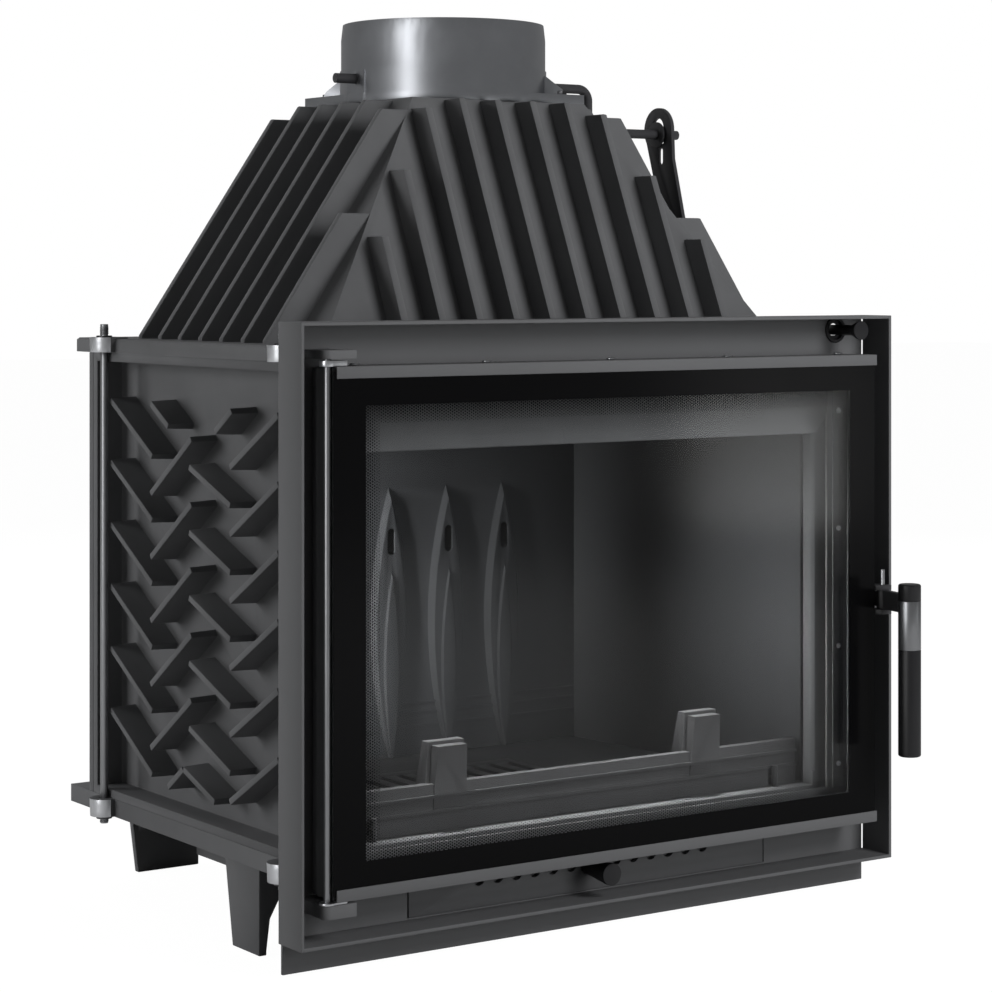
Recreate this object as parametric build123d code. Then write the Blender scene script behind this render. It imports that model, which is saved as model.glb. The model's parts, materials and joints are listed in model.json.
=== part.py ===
from build123d import *
import math
import os

# Cast iron fireplace insert. Sizes in millimetres, +Z up, the door faces -Y.
# Lengths along Y are counted from the front edge of the surround frame.

# Surround frame and front plate
FRAME_WIDTH = 654.0
FRAME_HEIGHT = 520.5
FRAME_DEPTH = 38.0
FRAME_FLOOR_GAP = 27.0
SHEET = 3.0
PLATE_INSET = 4.1
PLATE_TOP_INSET = 2.5
FIELD_INSET = 35.0
FIELD_LOW = 80.0
FIELD_TOP_INSET = 47.5
FIELD_GAP = 0.5

# Firebox body
BODY_INSET = 17.0
BODY_TOP_INSET = 35.1
SIDE_DEPTH = 372.0
BASE_TAIL = 40.0
HOOD_TAIL = 27.0
CASTING = 8.0
FRONT_CASTING = 11.0
BACK_CASTING = 10.0
LEG_HEIGHT = 75.0
BASE_THICK = 16.5
RIM_DEPTH = 26.0
OPENING_INSET = 50.0
LINTEL_INSET = 77.4
MOULDING_HEIGHT = 13.0
MOULDING_PROUD = 6.0
MOULDING_LIP = 1.5
MOULDING_SPREAD = 16.0
JAMB_CHAMFER = 3.2
JAMB_STOP = 13.0
BASE_RIB_X = 205.0
BASE_RIB_THICK = 6.0

# Legs
LEG_THICK = 7.5
LEG_SIDE_INSET = 1.5
LEG_FRONT_SETBACK = 51.6
LEG_FOOT = 47.8
LEG_TOP_WIDTH = 61.5
GUSSET = ((7.0, 0.0), (11.0, 31.0), (19.5, 46.0), (30.0, 60.0), (45.0, 75.0))
REAR_LEG_SETBACK = 16.3
REAR_LEG_INSET = 64.6
REAR_LEG_FOOT = 66.6
REAR_LEG_TOP_WIDTH = 76.0
REAR_GUSSET = ((-1.0, 40.0), (8.0, 50.0), (22.0, 62.0), (38.0, 75.0), (-1.0, 75.0))

# Herringbone ribs: ends as shares of the panel's depth and height
RIB_THICK = 7.0
RIB_DRAFT = 1.5
RIB_ROWS = 5
RIB_PITCH_SHARE = 0.13923
LEFT_RIB = (0.9056, 0.8950, 0.6720, 0.7776)
CENTRE_RIB = (0.4667, 0.8266, 0.6831, 0.6959)
INNER_RIB = (0.4801, 0.7657, 0.2707, 0.6956)
RIGHT_RIB = (0.0441, 0.8936, 0.2763, 0.7748)
SHORT_RIBS = ((0.6831, 0.8952, 0.5866, 0.8472), (0.2653, 0.8940, 0.3505, 0.8453))
ARCH_RIBS = ((0.5909, 0.0665, 0.5097, 0.1167), (0.5097, 0.1167, 0.3481, 0.0677))
BACK_RIBS = 9
BACK_RIB_INSET = 70.0
BACK_RIB_THICK = 5.0
BACK_RIB_PROUD = 14.0
BACK_RIB_END_GAP = 30.0

# Firebox floor and lining
HEARTH_THICK = 6.5
GRATE_HALF_X = 100.0
GRATE_DEPTH = 140.0
GRATE_BACK_GAP = 68.0
GRATE_LEDGE = 5.0
GRATE_GAP = 1.0
GRATE_SLOTS = 9
GRATE_SLOT_WIDTH = 9.0
GRATE_SLOT_END = 15.0
LINING_THICK = 13.0
LINING_RISE = 5.0
LINING_LEAN = 32.0
LINING_GAP = 0.5
LINING_FRONT_GAP = 6.0
BACK_LINING_GAP = 36.0
BACK_LINING_THICK = 30.0
BACK_LINING_TUCK = 28.0
BAFFLE_THICK = 12.0
BAFFLE_SETBACK = 78.0
BAFFLE_SIDE_GAP = 6.0
LANCET_PITCH = 69.0
LANCET_WIDTH = 42.0
LANCET_HEADROOM = 68.0
LANCET_PROUD = 6.0
LANCET_BEVEL = 4.6
LANCET_BELLY = 0.42
LANCET_COUNT = 5
INNER_WIDTH = 19.0
INNER_DROP = 85.0
INNER_BEVEL = 2.2
SLOT_DROP = 55.0
SLOT_WIDTH = 9.0
SLOT_LENGTH = 27.0
SLOT_DEEP = 14.0
LOW_RIBS = ((30.0, 2.4), (43.0, 2.4), (53.0, 2.4))
LOW_RIB_PROUD = 1.6

# Log guard
GUARD_SETBACK = 5.0
GUARD_THICK = 9.0
GUARD_END_GAP = 5.0
GUARD_HEIGHT = 42.0
GUARD_RIDGES = (18.0, 31.0)
RIDGE_HEIGHT = 3.0
RIDGE_PROUD = 2.0
POST_SHARE = 0.55
POST_HEIGHT = 75.0
POST_FOOT = (37.5, 1.0, 12.0)
POST_HEAD = (30.0, -5.0, 12.0)
STEP_FOOT = (45.0, 10.0, 22.0)
STEP_HEAD = (37.5, 6.0, 10.0)
STEP_RISE = 3.0
GUARD_STUD_INSET = 30.0
GUARD_STUD_RADIUS = 3.0
GUARD_STUD_HEIGHT = 20.0
GUARD_STUD_REACH = 5.0

# Hood
FLANGE_THICK = 13.6
FLANGE_CHAMFER = 2.0
HOOD_INSET = 56.0
HOOD_SETBACK = 36.0
HOOD_OVERHANG = 6.0
HOOD_HEIGHT = 226.0
HOOD_TOP_INSET = 1.2
HOOD_WALL = 6.3
FLUE_SETBACK = 147.4
SIDE_FIN_PROUD = 30.0
FRONT_FIN_PROUD = 25.5
FIN_THICK = 7.0
FIN_PITCH = 40.0
FIN_DRAFT = 9.0
FIN_FOOT_INSET = 28.5
FIN_SINK = 6.0
SIDE_FIN_SETBACK = 91.0
SIDE_FIN_DROPS = (110.0, 12.5, 2.0, 2.0, 2.0, 2.0, 13.0)
FRONT_FIN_DROPS = (1.0, 1.0, 11.0, 70.0, 131.0)

# Flue collar
FLUE_RADIUS = 100.0
COLLAR_WALL = 4.5
COLLAR_FLANGE = 8.8
COLLAR_HEIGHT = 69.0
COLLAR_RIM = 2.0
STOP_HEIGHT = 24.0
STOP_PROUD = 1.0
LEAD_IN = 1.7
LEAD_IN_LENGTH = 15.0
BOSS_HALF = 15.5
BOSS_HEIGHT = 22.0
WEB_REACH = 22.0
WEB_HEIGHT = 19.5
WEB_THICK = 4.0
WEB_TOE = 6.0
EAR_BOLT = 6.0
EAR_BOLT_INSET = 9.0
EAR_BOLT_SHIFT = 11.0
EAR_BOLT_HEAD = 5.0
EAR_BOLT_HEAD_HEIGHT = 4.0

# Damper
SHAFT_RADIUS = 4.75
SHAFT_RISE = 22.5
SHAFT_OVERHANG = 23.4
CRANK_RADIUS = 43.1
CRANK_OUT = 75.3
CRANK_PAST_YOKE = 25.0
CRANK_BEND = 12.0
FLAP_GAP = 2.5
FLAP_THICK = 3.0
FLAP_TILT = 31.0
FLAP_SCREW_X = 45.0
FLAP_SCREW = 2.0
FLAP_SCREW_HEAD = 4.2
FLAP_SCREW_HEIGHT = 2.5
YOKE_SETBACK = 23.6
YOKE_THICK = 4.0
YOKE_HEAD_RADIUS = 22.9
YOKE_HEAD_RISE = 4.7
YOKE_SLOT_HALF = 9.5
YOKE_SLOT_RISE = 7.6
YOKE_SLOT_DROP = 17.0
YOKE_NECK_DROP = 25.4
YOKE_FOOT_FRONT = 58.6
YOKE_FOOT_HALF = 15.0
YOKE_BEND = (31.0, 57.0)
YOKE_HOLE = (18.0, 8.0)
SLEEVE_RADIUS = 6.0
SLEEVE_HALF = 6.0
WASHER_RADIUS = 13.0
WASHER_THICK = 2.5
WASHER_GAP = 0.5
ROD_INSET = 38.4
ROD_RISE = 7.5
ROD_RADIUS = 4.0
ROD_PAST_FLUE = 68.4
KNOB_LENGTH = 45.6
KNOB_RADIUS = 9.0
KNOB_NECK = 5.0
KNOB_CONE = 12.0
KNOB_FACE = 2.0
KNOB_HOLE = 11.0
GUIDE_THICK = 3.0
GUIDE_SETBACKS = (48.0, 268.0)
GUIDE_HALF = 6.5
GUIDE_TOE = 10.0
GUIDE_RISE = 8.0
GUIDE_FOOT = 14.0

# Tie rods
TIE_OUT = 4.0
TIE_FRONT_SETBACK = 1.0
TIE_BACK_SETBACK = 31.0
TIE_RADIUS = 3.75
TIE_BELOW = 7.6
TIE_ABOVE = 13.8
LUG_RADIUS = 13.8
LUG_TOP = 1.5
LUG_ROOT = 4.0
LUG_FRONT_GAP = 0.3
NUT_RADIUS = 7.5
NUT_THICK = 3.0
TIE_WASHER_RADIUS = 7.5
TIE_WASHER_THICK = 1.5
THREAD_FIT = 0.02

# Ash drawer and air slider
DRAWER_INSET = 129.0
DRAWER_LIFT = 4.5
DRAWER_DROP = 10.5
DRAWER_GAP = 1.5
DRAWER_RECESS = 0.4
TRAY_INSET = 13.0
TRAY_HEIGHT = 30.0
TRAY_LIFT = 0.5
TRAY_END_GAP = 24.0
TRAY_WALL = 2.0
TRAY_GAP = 3.4
TRAY_TAB = 20.0
BOX_GAP = 0.6
BOX_LOW = 18.0
BOX_SETBACK = 1.0
BOX_TAIL = 1.0
RUNNER_INSET = 25.0
RUNNER_WIDTH = 20.0
REST_GAP = 0.3
AIR_HOLE = 6.0
AIR_HOLE_DROP = 8.5
AIR_HOLE_FIRST = 25.0
AIR_HOLE_COUNT = 6
SLIDER_INSET = 48.0
SLIDER_END = 25.0
SLIDER_THICK = 1.5
AIR_KNOB_X = -7.0
AIR_KNOB_DROP = 12.5
AIR_KNOB_RADIUS = 10.0
AIR_KNOB_NECK = 6.5
AIR_KNOB_CONE = 6.0
AIR_SHAFT = 4.0
AIR_SLOT_GAP = 0.3
AIR_TRAVEL_LEFT = 3.0
AIR_TRAVEL_RIGHT = 7.0

# Door
DOOR_INSET = 25.7
DOOR_TOP_INSET = 37.0
DOOR_LIFT = 38.8
TRIM_LIP = 10.2
TRIM_SHEET = 1.5
TRIM_BACK = 26.0
TRIM_HINGE_GAP = 4.0
GLASS_INSET = 1.8
GLASS_THICK = 4.0
GLASS_FRONT = -6.5
GLASS_END_GAP = 3.0
DOOR_FRAME_INSET = 3.3
DOOR_FRAME_WALL = 3.0
DOOR_FRAME_DEPTH = 33.5
WINDOW_BORDER = 28.0
WINDOW_LIFT = 30.2
WINDOW_DROP = 32.0
RETAINER_WIDTH = 13.0
RETAINER_SETBACK = 6.0
RETAINER_THICK = 1.5
RETAINER_SCREWS = 4
RETAINER_SCREW_END = 22.0
RETAINER_SCREW = 2.5
RETAINER_SCREW_HEAD = 1.6
ROPE_SETBACK = 8.0
ROPE_WIDTH = 8.0
ROPE_LOW_OUT = 13.0
ROPE_HIGH_OUT = 11.5
ROPE_GAP = 0.3
HINGE_INSET = 25.0
HINGE_ROD = 3.0
RUN_FIT = 0.06
BRACKET_TOP_INSET = 30.5
BRACKET_TOP_HEIGHT = 7.0
BRACKET_LOW_DROP = 13.8
BRACKET_LOW_HEIGHT = 11.5
BRACKET_BAR = (-5.0, 25.0, -6.0)
ROD_TOP_RISE = 5.0
ROD_FOOT_RISE = 3.0
EAR_THICK = 5.0
EAR_HALF = 7.0
EAR_REACH = 16.0
TRIM_SCREW_END = 32.3
TRIM_SCREW_Y = 12.0
TRIM_SCREW = 4.0
TRIM_SCREW_HEIGHT = 2.0

# Handle
GRIP_INSET = 23.0
GRIP_Y = -50.0
GRIP_RADIUS = 10.7
GRIP_ROUND = 2.0
GRIP_LOW = 133.7
BAND_LOW = 234.0
CAP_LOW = 280.0
CAP_HIGH = 295.7
ARM_LOW = 267.7
ARM_HEIGHT = 17.7
PIVOT_INSET = 16.0
PIVOT_Y = -5.0
PIN_RADIUS = 2.0
PIN_TOP = 305.0
ARM_BOSS = 5.5
BRACKET_EAR = 5.0
BRACKET_HALF = 6.0
BRACKET_WEB = (3.0, 16.0)
CATCH_LIP = 10.0
CATCH_MARGIN = 2.0

# Places worked out from the sizes above
FRAME_HALF = FRAME_WIDTH / 2
FRAME_TOP = FRAME_FLOOR_GAP + FRAME_HEIGHT
FRAME_INNER = FRAME_HALF - SHEET
PLATE_HALF = FRAME_HALF - PLATE_INSET
PLATE_TOP = FRAME_TOP - PLATE_TOP_INSET
PLATE_BACK = FRAME_DEPTH + SHEET
FIELD_HALF = FRAME_HALF - FIELD_INSET
FIELD_HIGH = FRAME_TOP - FIELD_TOP_INSET
BODY_HALF = FRAME_HALF - BODY_INSET
PANEL_HALF = BODY_HALF - RIM_DEPTH
PANEL_INNER = PANEL_HALF - CASTING
SIDE_FRONT = PLATE_BACK + FRONT_CASTING
SIDE_BACK = SIDE_FRONT + SIDE_DEPTH
BACK_FACE = SIDE_BACK + BACK_CASTING
BASE_TOP = LEG_HEIGHT + BASE_THICK
BASE_END = BACK_FACE + BASE_TAIL
SIDE_TOP = FRAME_TOP - BODY_TOP_INSET
SIDE_HEIGHT = SIDE_TOP - BASE_TOP
FLANGE_TOP = SIDE_TOP + FLANGE_THICK
FLANGE_END = BACK_FACE + HOOD_TAIL
HEARTH_TOP = BASE_TOP + HEARTH_THICK
OPENING_HALF = BODY_HALF - OPENING_INSET
MOUTH_TOP = SIDE_TOP - LINTEL_INSET
LEG_SIDE = BODY_HALF - LEG_SIDE_INSET
LEG_FRONT_Y = SIDE_FRONT + LEG_FRONT_SETBACK
REAR_LEG_Y = BASE_END - REAR_LEG_SETBACK
REAR_LEG_OUTER = BODY_HALF - REAR_LEG_INSET
REAR_LEG_X = REAR_LEG_OUTER - REAR_LEG_FOOT
LINING_TOP = MOUTH_TOP + LINING_RISE
LINING_BACK_HALF = OPENING_HALF + 2 - LINING_LEAN
LINING_BACK_Y = SIDE_BACK - BACK_LINING_GAP
LANCET_HEIGHT = LINING_TOP - HEARTH_TOP - LANCET_HEADROOM
GRATE_BACK = LINING_BACK_Y - GRATE_BACK_GAP
GRATE_FRONT = GRATE_BACK - GRATE_DEPTH
GUARD_FRONT = SIDE_FRONT + GUARD_SETBACK
GUARD_HALF = OPENING_HALF - GUARD_END_GAP
HOOD_HALF_X = BODY_HALF - HOOD_INSET
HOOD_FRONT = SIDE_FRONT + HOOD_SETBACK
HOOD_BACK = BACK_FACE + HOOD_OVERHANG
HOOD_TOP = FLANGE_TOP + HOOD_HEIGHT
HOOD_TOP_HALF = FLUE_RADIUS - HOOD_TOP_INSET
FLUE_Y = BACK_FACE - FLUE_SETBACK
FIN_FOOT_LIMIT = BODY_HALF - FIN_FOOT_INSET
COLLAR_TOP = HOOD_TOP + COLLAR_FLANGE
STOP_TOP = COLLAR_TOP + STOP_HEIGHT
SPIGOT_TOP = COLLAR_TOP + COLLAR_HEIGHT
COLLAR_BORE = FLUE_RADIUS - COLLAR_WALL
SHAFT_Z = HOOD_TOP + SHAFT_RISE
SHAFT_LEFT = -FLUE_RADIUS - SHAFT_OVERHANG
CRANK_Z = SHAFT_Z - CRANK_RADIUS
CRANK_X = FLUE_RADIUS + CRANK_OUT
FLAP_RADIUS = COLLAR_BORE - FLAP_GAP
ROD_X = FRAME_HALF - ROD_INSET
ROD_Z = FLANGE_TOP + ROD_RISE
ROD_END = FLUE_Y + ROD_PAST_FLUE
YOKE_X = ROD_X - YOKE_SETBACK
YOKE_FOOT_Y = FLUE_Y - YOKE_FOOT_FRONT
CRANK_END = YOKE_X + CRANK_PAST_YOKE
TIE_X = BODY_HALF + TIE_OUT
TIE_FRONT_Y = SIDE_FRONT + TIE_FRONT_SETBACK
TIE_BACK_Y = SIDE_BACK - TIE_BACK_SETBACK
TIE_LOW = LEG_HEIGHT - TIE_BELOW
TIE_HIGH = FLANGE_TOP + TIE_ABOVE
DRAWER_HALF = FRAME_HALF - DRAWER_INSET
DRAWER_LOW = FRAME_FLOOR_GAP + DRAWER_LIFT
DRAWER_HIGH = LEG_HEIGHT - DRAWER_DROP
PANEL_FRONT = FRAME_DEPTH - DRAWER_RECESS
PANEL_BACK = PANEL_FRONT + SHEET
TRAY_HALF = DRAWER_HALF - TRAY_INSET
TRAY_FRONT = PANEL_BACK + TRAY_GAP
TRAY_END = SIDE_BACK - TRAY_END_GAP
TRAY_LOW = DRAWER_LOW + TRAY_LIFT
BOX_HALF = DRAWER_HALF + BOX_GAP
BOX_FRONT = TRAY_FRONT + BOX_SETBACK
BOX_END = SIDE_BACK + BOX_TAIL
RUNNER_X = TRAY_HALF - RUNNER_INSET
AIR_HOLE_Z = DRAWER_HIGH - AIR_HOLE_DROP
AIR_KNOB_Z = DRAWER_HIGH - AIR_KNOB_DROP
SLIDER_HALF = DRAWER_HALF - SLIDER_INSET
AIR_HOLE_PITCH = (SLIDER_HALF - SLIDER_END - AIR_HOLE_FIRST) / (AIR_HOLE_COUNT - 1)
DOOR_HALF = FRAME_HALF - DOOR_INSET
DOOR_TOP = FRAME_TOP - DOOR_TOP_INSET
DOOR_BOTTOM = FRAME_FLOOR_GAP + DOOR_LIFT
DOOR_FRAME_HALF = DOOR_HALF - DOOR_FRAME_INSET
GLASS_HALF = DOOR_HALF - GLASS_INSET
GLASS_BACK = GLASS_FRONT + GLASS_THICK
DOOR_BACK = GLASS_BACK + DOOR_FRAME_DEPTH
WINDOW_HALF = DOOR_FRAME_HALF - WINDOW_BORDER
WINDOW_LOW = DOOR_BOTTOM + WINDOW_LIFT
WINDOW_HIGH = DOOR_TOP - WINDOW_DROP
RETAINER_X = WINDOW_HALF + RETAINER_SETBACK
RETAINER_BACK = DOOR_BACK - DOOR_FRAME_WALL
ROPE_INNER = WINDOW_HALF + ROPE_SETBACK
ROPE_LOW = WINDOW_LOW - ROPE_LOW_OUT
ROPE_HIGH = WINDOW_HIGH + ROPE_HIGH_OUT
HINGE_X = -FRAME_HALF + HINGE_INSET
BRACKET_TOP = FRAME_TOP - BRACKET_TOP_INSET
BRACKET_LOW = DOOR_BOTTOM - BRACKET_LOW_DROP
ROD_TOP = BRACKET_TOP + ROD_TOP_RISE
ROD_BOTTOM = BRACKET_LOW + ROD_FOOT_RISE
TRIM_SCREW_PITCH = (DOOR_HALF - TRIM_SCREW_END) / 2
GRIP_X = FRAME_HALF - GRIP_INSET
PIVOT_X = FRAME_HALF - PIVOT_INSET
ORIGIN_Y = (BASE_END + GRIP_Y - GRIP_RADIUS) / 2


def slab(x0, x1, y0, y1, z0, z1):
    """A box between two corners."""
    corner = (Align.MIN, Align.MIN, Align.MIN)
    return Pos(x0, y0, z0) * Box(x1 - x0, y1 - y0, z1 - z0, align=corner)


def prism_x(points, x0, x1):
    """A YZ outline drawn out along X."""
    return extrude(Plane.YZ.offset(x0) * Polygon(*points, align=None), x1 - x0, dir=(1, 0, 0))


def prism_y(points, y0, y1):
    """An XZ outline drawn out along Y."""
    return extrude(Plane.XZ.offset(-y0) * Polygon(*points, align=None), y1 - y0, dir=(0, 1, 0))


def prism_z(points, z0, z1):
    """An XY outline drawn out along Z."""
    return extrude(Plane.XY.offset(z0) * Polygon(*points, align=None), z1 - z0, dir=(0, 0, 1))


def rod_x(radius, x0, x1, y, z):
    """A round bar along X."""
    return extrude(Plane.YZ.offset(x0) * Pos(y, z) * Circle(radius), x1 - x0)


def rod_y(radius, y0, y1, x, z):
    """A round bar along Y."""
    return extrude(Plane.XZ.offset(-y1) * Pos(x, z) * Circle(radius), y1 - y0)


def rod_z(radius, z0, z1, x, y):
    """A round bar along Z."""
    return extrude(Plane.XY.offset(z0) * Pos(x, y) * Circle(radius), z1 - z0)


def mirrored(shape):
    """The same shape on the other side of the middle plane."""
    return mirror(shape, about=Plane.YZ)


def save(node, *shapes):
    """Write one sub-part, moved so that the origin is the middle of the footprint."""
    solids = [solid for shape in shapes for solid in shape.solids()]
    moved = [solid.moved(Location((0, -ORIGIN_Y, 0))) for solid in solids]
    group = moved[0] if len(moved) == 1 else Compound(children=moved)
    export_step(group, "parts/" + node + ".step")


def fused(shapes):
    """One shape from many that touch."""
    first = shapes[0]
    for shape in shapes[1:]:
        first = first + shape
    return first


def surround_frame():
    """A box ring of folded sheet; the bottom sheet runs under the side walls."""
    outer = slab(-FRAME_HALF, FRAME_HALF, 0, FRAME_DEPTH, FRAME_FLOOR_GAP, FRAME_TOP)
    low = FRAME_FLOOR_GAP + SHEET
    return outer - slab(-FRAME_INNER, FRAME_INNER, -1, FRAME_DEPTH + 1, low, FRAME_TOP - SHEET)


def front_plate():
    """The sheet between the firebox and the frame; its foot shows as a skirt."""
    y0, y1 = FRAME_DEPTH, PLATE_BACK
    plate = slab(-PLATE_HALF, PLATE_HALF, y0, y1, 0, PLATE_TOP)
    plate = plate - slab(-FIELD_HALF, FIELD_HALF, y0 - 1, y1 + 1, FIELD_LOW, FIELD_HIGH)
    half = DRAWER_HALF + DRAWER_GAP
    low = FRAME_FLOOR_GAP + SHEET + 1
    high = DRAWER_HIGH + DRAWER_GAP / 2
    plate = plate - slab(-half, half, y0 - 1, y1 + 1, low, high)
    return plate - rod_y(KNOB_HOLE, y0 - 1, y1 + 1, ROD_X, ROD_Z)


def front_casting():
    """The front frame of the firebox: a raised field in the plate and a moulding over the mouth."""
    y0, y1 = PLATE_BACK, SIDE_FRONT
    wall = slab(-BODY_HALF + 1, BODY_HALF - 1, y0, y1, LEG_HEIGHT + 1, SIDE_TOP)
    half = FIELD_HALF - FIELD_GAP
    field = slab(-half, half, FRAME_DEPTH, y0, FIELD_LOW + FIELD_GAP, FIELD_HIGH - FIELD_GAP)
    mouth = slab(-OPENING_HALF, OPENING_HALF, -1, y1 + 1, HEARTH_TOP, MOUTH_TOP)
    shape = wall + field - mouth + moulding()
    chamfers = jamb_chamfer()
    shape = shape - chamfers - mirrored(chamfers)
    inner = BODY_HALF - LUG_RADIUS - 2
    notch = slab(inner, BODY_HALF, y0 - 1, y1 + 1, LEG_HEIGHT, BASE_TOP)
    return shape - notch - mirrored(notch)


def moulding():
    """The sloped band over the mouth, cut on the slant at both ends."""
    proud = FRAME_DEPTH - MOULDING_PROUD
    high = MOUTH_TOP + MOULDING_HEIGHT
    spread = OPENING_HALF + MOULDING_SPREAD
    profile = [
        (PLATE_BACK, MOUTH_TOP),
        (proud, MOUTH_TOP),
        (proud, MOUTH_TOP + MOULDING_LIP),
        (FRAME_DEPTH, high),
        (PLATE_BACK, high),
    ]
    ends = [(-OPENING_HALF, MOUTH_TOP), (OPENING_HALF, MOUTH_TOP), (spread, high), (-spread, high)]
    return prism_x(profile, -spread, spread) & prism_y(ends, proud - 1, PLATE_BACK)


def jamb_chamfer():
    """The cutter for the slanted edge of the right jamb, which stops above the floor."""
    front = FRAME_DEPTH - MOULDING_PROUD - 1
    reach = FRAME_DEPTH - front + JAMB_CHAMFER
    points = [
        (OPENING_HALF - 1, front),
        (OPENING_HALF - 1, FRAME_DEPTH + JAMB_CHAMFER + 1),
        (OPENING_HALF + reach, front),
    ]
    return prism_z(points, HEARTH_TOP + JAMB_STOP, MOUTH_TOP)


def lug(x, y, z0, z1, cut_y):
    """A rounded ear that a tie rod goes through, with a drafted edge."""
    draft = 2
    disc = Plane.XY.offset(z0) * Pos(x, y) * Circle(LUG_RADIUS - (z1 - z0) * math.tan(math.radians(draft)))
    ear = extrude(disc, z1 - z0, taper=-draft)
    root = x - math.copysign(LUG_RADIUS + LUG_ROOT, x)
    web = slab(min(x, root), max(x, root), y - LUG_RADIUS, y + LUG_RADIUS, z0, z1)
    shape = ear + web - tie_hole(x, y, z0, z1)
    return shape - slab(-FRAME_WIDTH, FRAME_WIDTH, cut_y - FRAME_WIDTH, cut_y, z0 - 5, z1 + 5)


def tie_hole(x, y, z0, z1):
    """The cutter for one tie rod's running hole."""
    return rod_z(TIE_RADIUS + RUN_FIT, z0 - 1, z1 + 1, x, y)


def tie_places():
    """Places of the four tie rods."""
    return [(x, y) for x in (-TIE_X, TIE_X) for y in (TIE_FRONT_Y, TIE_BACK_Y)]


def lugs(z0, z1):
    """The four tie rod ears of one casting."""
    ears = []
    for x, y in tie_places():
        gap = LUG_FRONT_GAP if y == TIE_FRONT_Y else 0
        ears.append(lug(x, y, z0, z1, PLATE_BACK + gap))
    return ears


def base_casting():
    """The floor of the firebox: a plate with a rim under it, ears and the ash opening."""
    z0, z1 = LEG_HEIGHT, BASE_TOP
    plate = slab(-BODY_HALF, BODY_HALF, SIDE_FRONT, BASE_END, z0, z1)
    inner = BODY_HALF - CASTING
    hollow = slab(-inner, inner, SIDE_FRONT + CASTING, BASE_END - CASTING, z0 - 1, z1 - CASTING)
    plate = plate - hollow
    half = BASE_RIB_THICK / 2
    for x in (-BASE_RIB_X, BASE_RIB_X):
        plate = plate + slab(x - half, x + half, SIDE_FRONT + 1, BASE_END - 1, z0, z1 - CASTING)
    plate = fused([plate] + lugs(z0, z1))
    for x, y in tie_places():
        plate = plate - tie_hole(x, y, z0, z1)
    half = GRATE_HALF_X - GRATE_LEDGE
    front, back = GRATE_FRONT + GRATE_LEDGE, GRATE_BACK - GRATE_LEDGE
    return plate - slab(-half, half, front, back, z0 - 1, z1 + 1)


def front_leg():
    """A tapered plate along the side with a curved gusset turned inwards at its front edge."""
    plate = prism_x(
        [
            (LEG_FRONT_Y, 0),
            (LEG_FRONT_Y + LEG_FOOT, 0),
            (LEG_FRONT_Y + LEG_TOP_WIDTH, LEG_HEIGHT),
            (LEG_FRONT_Y, LEG_HEIGHT),
        ],
        LEG_SIDE - LEG_THICK,
        LEG_SIDE,
    )
    edge = [(LEG_SIDE - inward, height) for inward, height in GUSSET]
    outline = [(LEG_SIDE, 0)] + edge + [(LEG_SIDE, LEG_HEIGHT)]
    return plate + prism_y(outline, LEG_FRONT_Y, LEG_FRONT_Y + LEG_THICK)


def rear_leg():
    """A tapered plate across the back with a gusset turned forwards at its outer edge."""
    top = REAR_LEG_X + REAR_LEG_TOP_WIDTH
    plate = prism_y(
        [(REAR_LEG_X, 0), (REAR_LEG_OUTER, 0), (top, LEG_HEIGHT), (REAR_LEG_X, LEG_HEIGHT)],
        REAR_LEG_Y,
        REAR_LEG_Y + LEG_THICK,
    )
    outline = [(REAR_LEG_Y - forward, height) for forward, height in REAR_GUSSET]
    return plate + prism_x(outline, REAR_LEG_OUTER - LEG_THICK, REAR_LEG_OUTER)


def rib(y0, z0, y1, z1):
    """One slanted rib between two points of the side panel, flush with the rims."""
    length = math.hypot(y1 - y0, z1 - z0)
    turn = math.degrees(math.atan2(z1 - z0, y1 - y0))
    middle = Pos((y0 + y1) / 2, (z0 + z1) / 2) * Rot(0, 0, turn) * Rectangle(length, RIB_THICK)
    return extrude(Plane.YZ.offset(PANEL_HALF - 1) * middle, RIM_DEPTH + 1, taper=RIB_DRAFT)


def panel_line(shares, drop):
    """Both ends of a rib in millimetres, moved down by a drop."""
    y0, z0, y1, z1 = shares
    first = (SIDE_FRONT + y0 * SIDE_DEPTH, BASE_TOP + z0 * SIDE_HEIGHT - drop)
    last = (SIDE_FRONT + y1 * SIDE_DEPTH, BASE_TOP + z1 * SIDE_HEIGHT - drop)
    return first + last


def herringbone():
    """All ribs of one side panel."""
    ribs = []
    pitch = RIB_PITCH_SHARE * SIDE_HEIGHT
    rows = (
        (LEFT_RIB, RIB_ROWS + 1),
        (CENTRE_RIB, RIB_ROWS),
        (INNER_RIB, RIB_ROWS),
        (RIGHT_RIB, RIB_ROWS + 1),
    )
    for shares, count in rows:
        for k in range(count):
            ribs.append(rib(*panel_line(shares, k * pitch)))
    for shares in SHORT_RIBS + ARCH_RIBS:
        ribs.append(rib(*panel_line(shares, 0)))
    return ribs


def right_side_casting():
    """A side wall: panel, rims, rear flange and herringbone ribs."""
    panel = slab(PANEL_INNER, PANEL_HALF, SIDE_FRONT, SIDE_BACK, BASE_TOP, SIDE_TOP)
    low = slab(PANEL_INNER, BODY_HALF, SIDE_FRONT, SIDE_BACK, BASE_TOP, BASE_TOP + CASTING)
    high = slab(PANEL_INNER, BODY_HALF, SIDE_FRONT, SIDE_BACK, SIDE_TOP - CASTING, SIDE_TOP)
    rear = slab(PANEL_INNER, BODY_HALF, SIDE_BACK - CASTING, SIDE_BACK, BASE_TOP, SIDE_TOP)
    front = slab(PANEL_INNER, BODY_HALF - 1, SIDE_FRONT, SIDE_FRONT + CASTING, BASE_TOP, SIDE_TOP)
    return fused([panel, low, high, rear, front] + herringbone())


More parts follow.
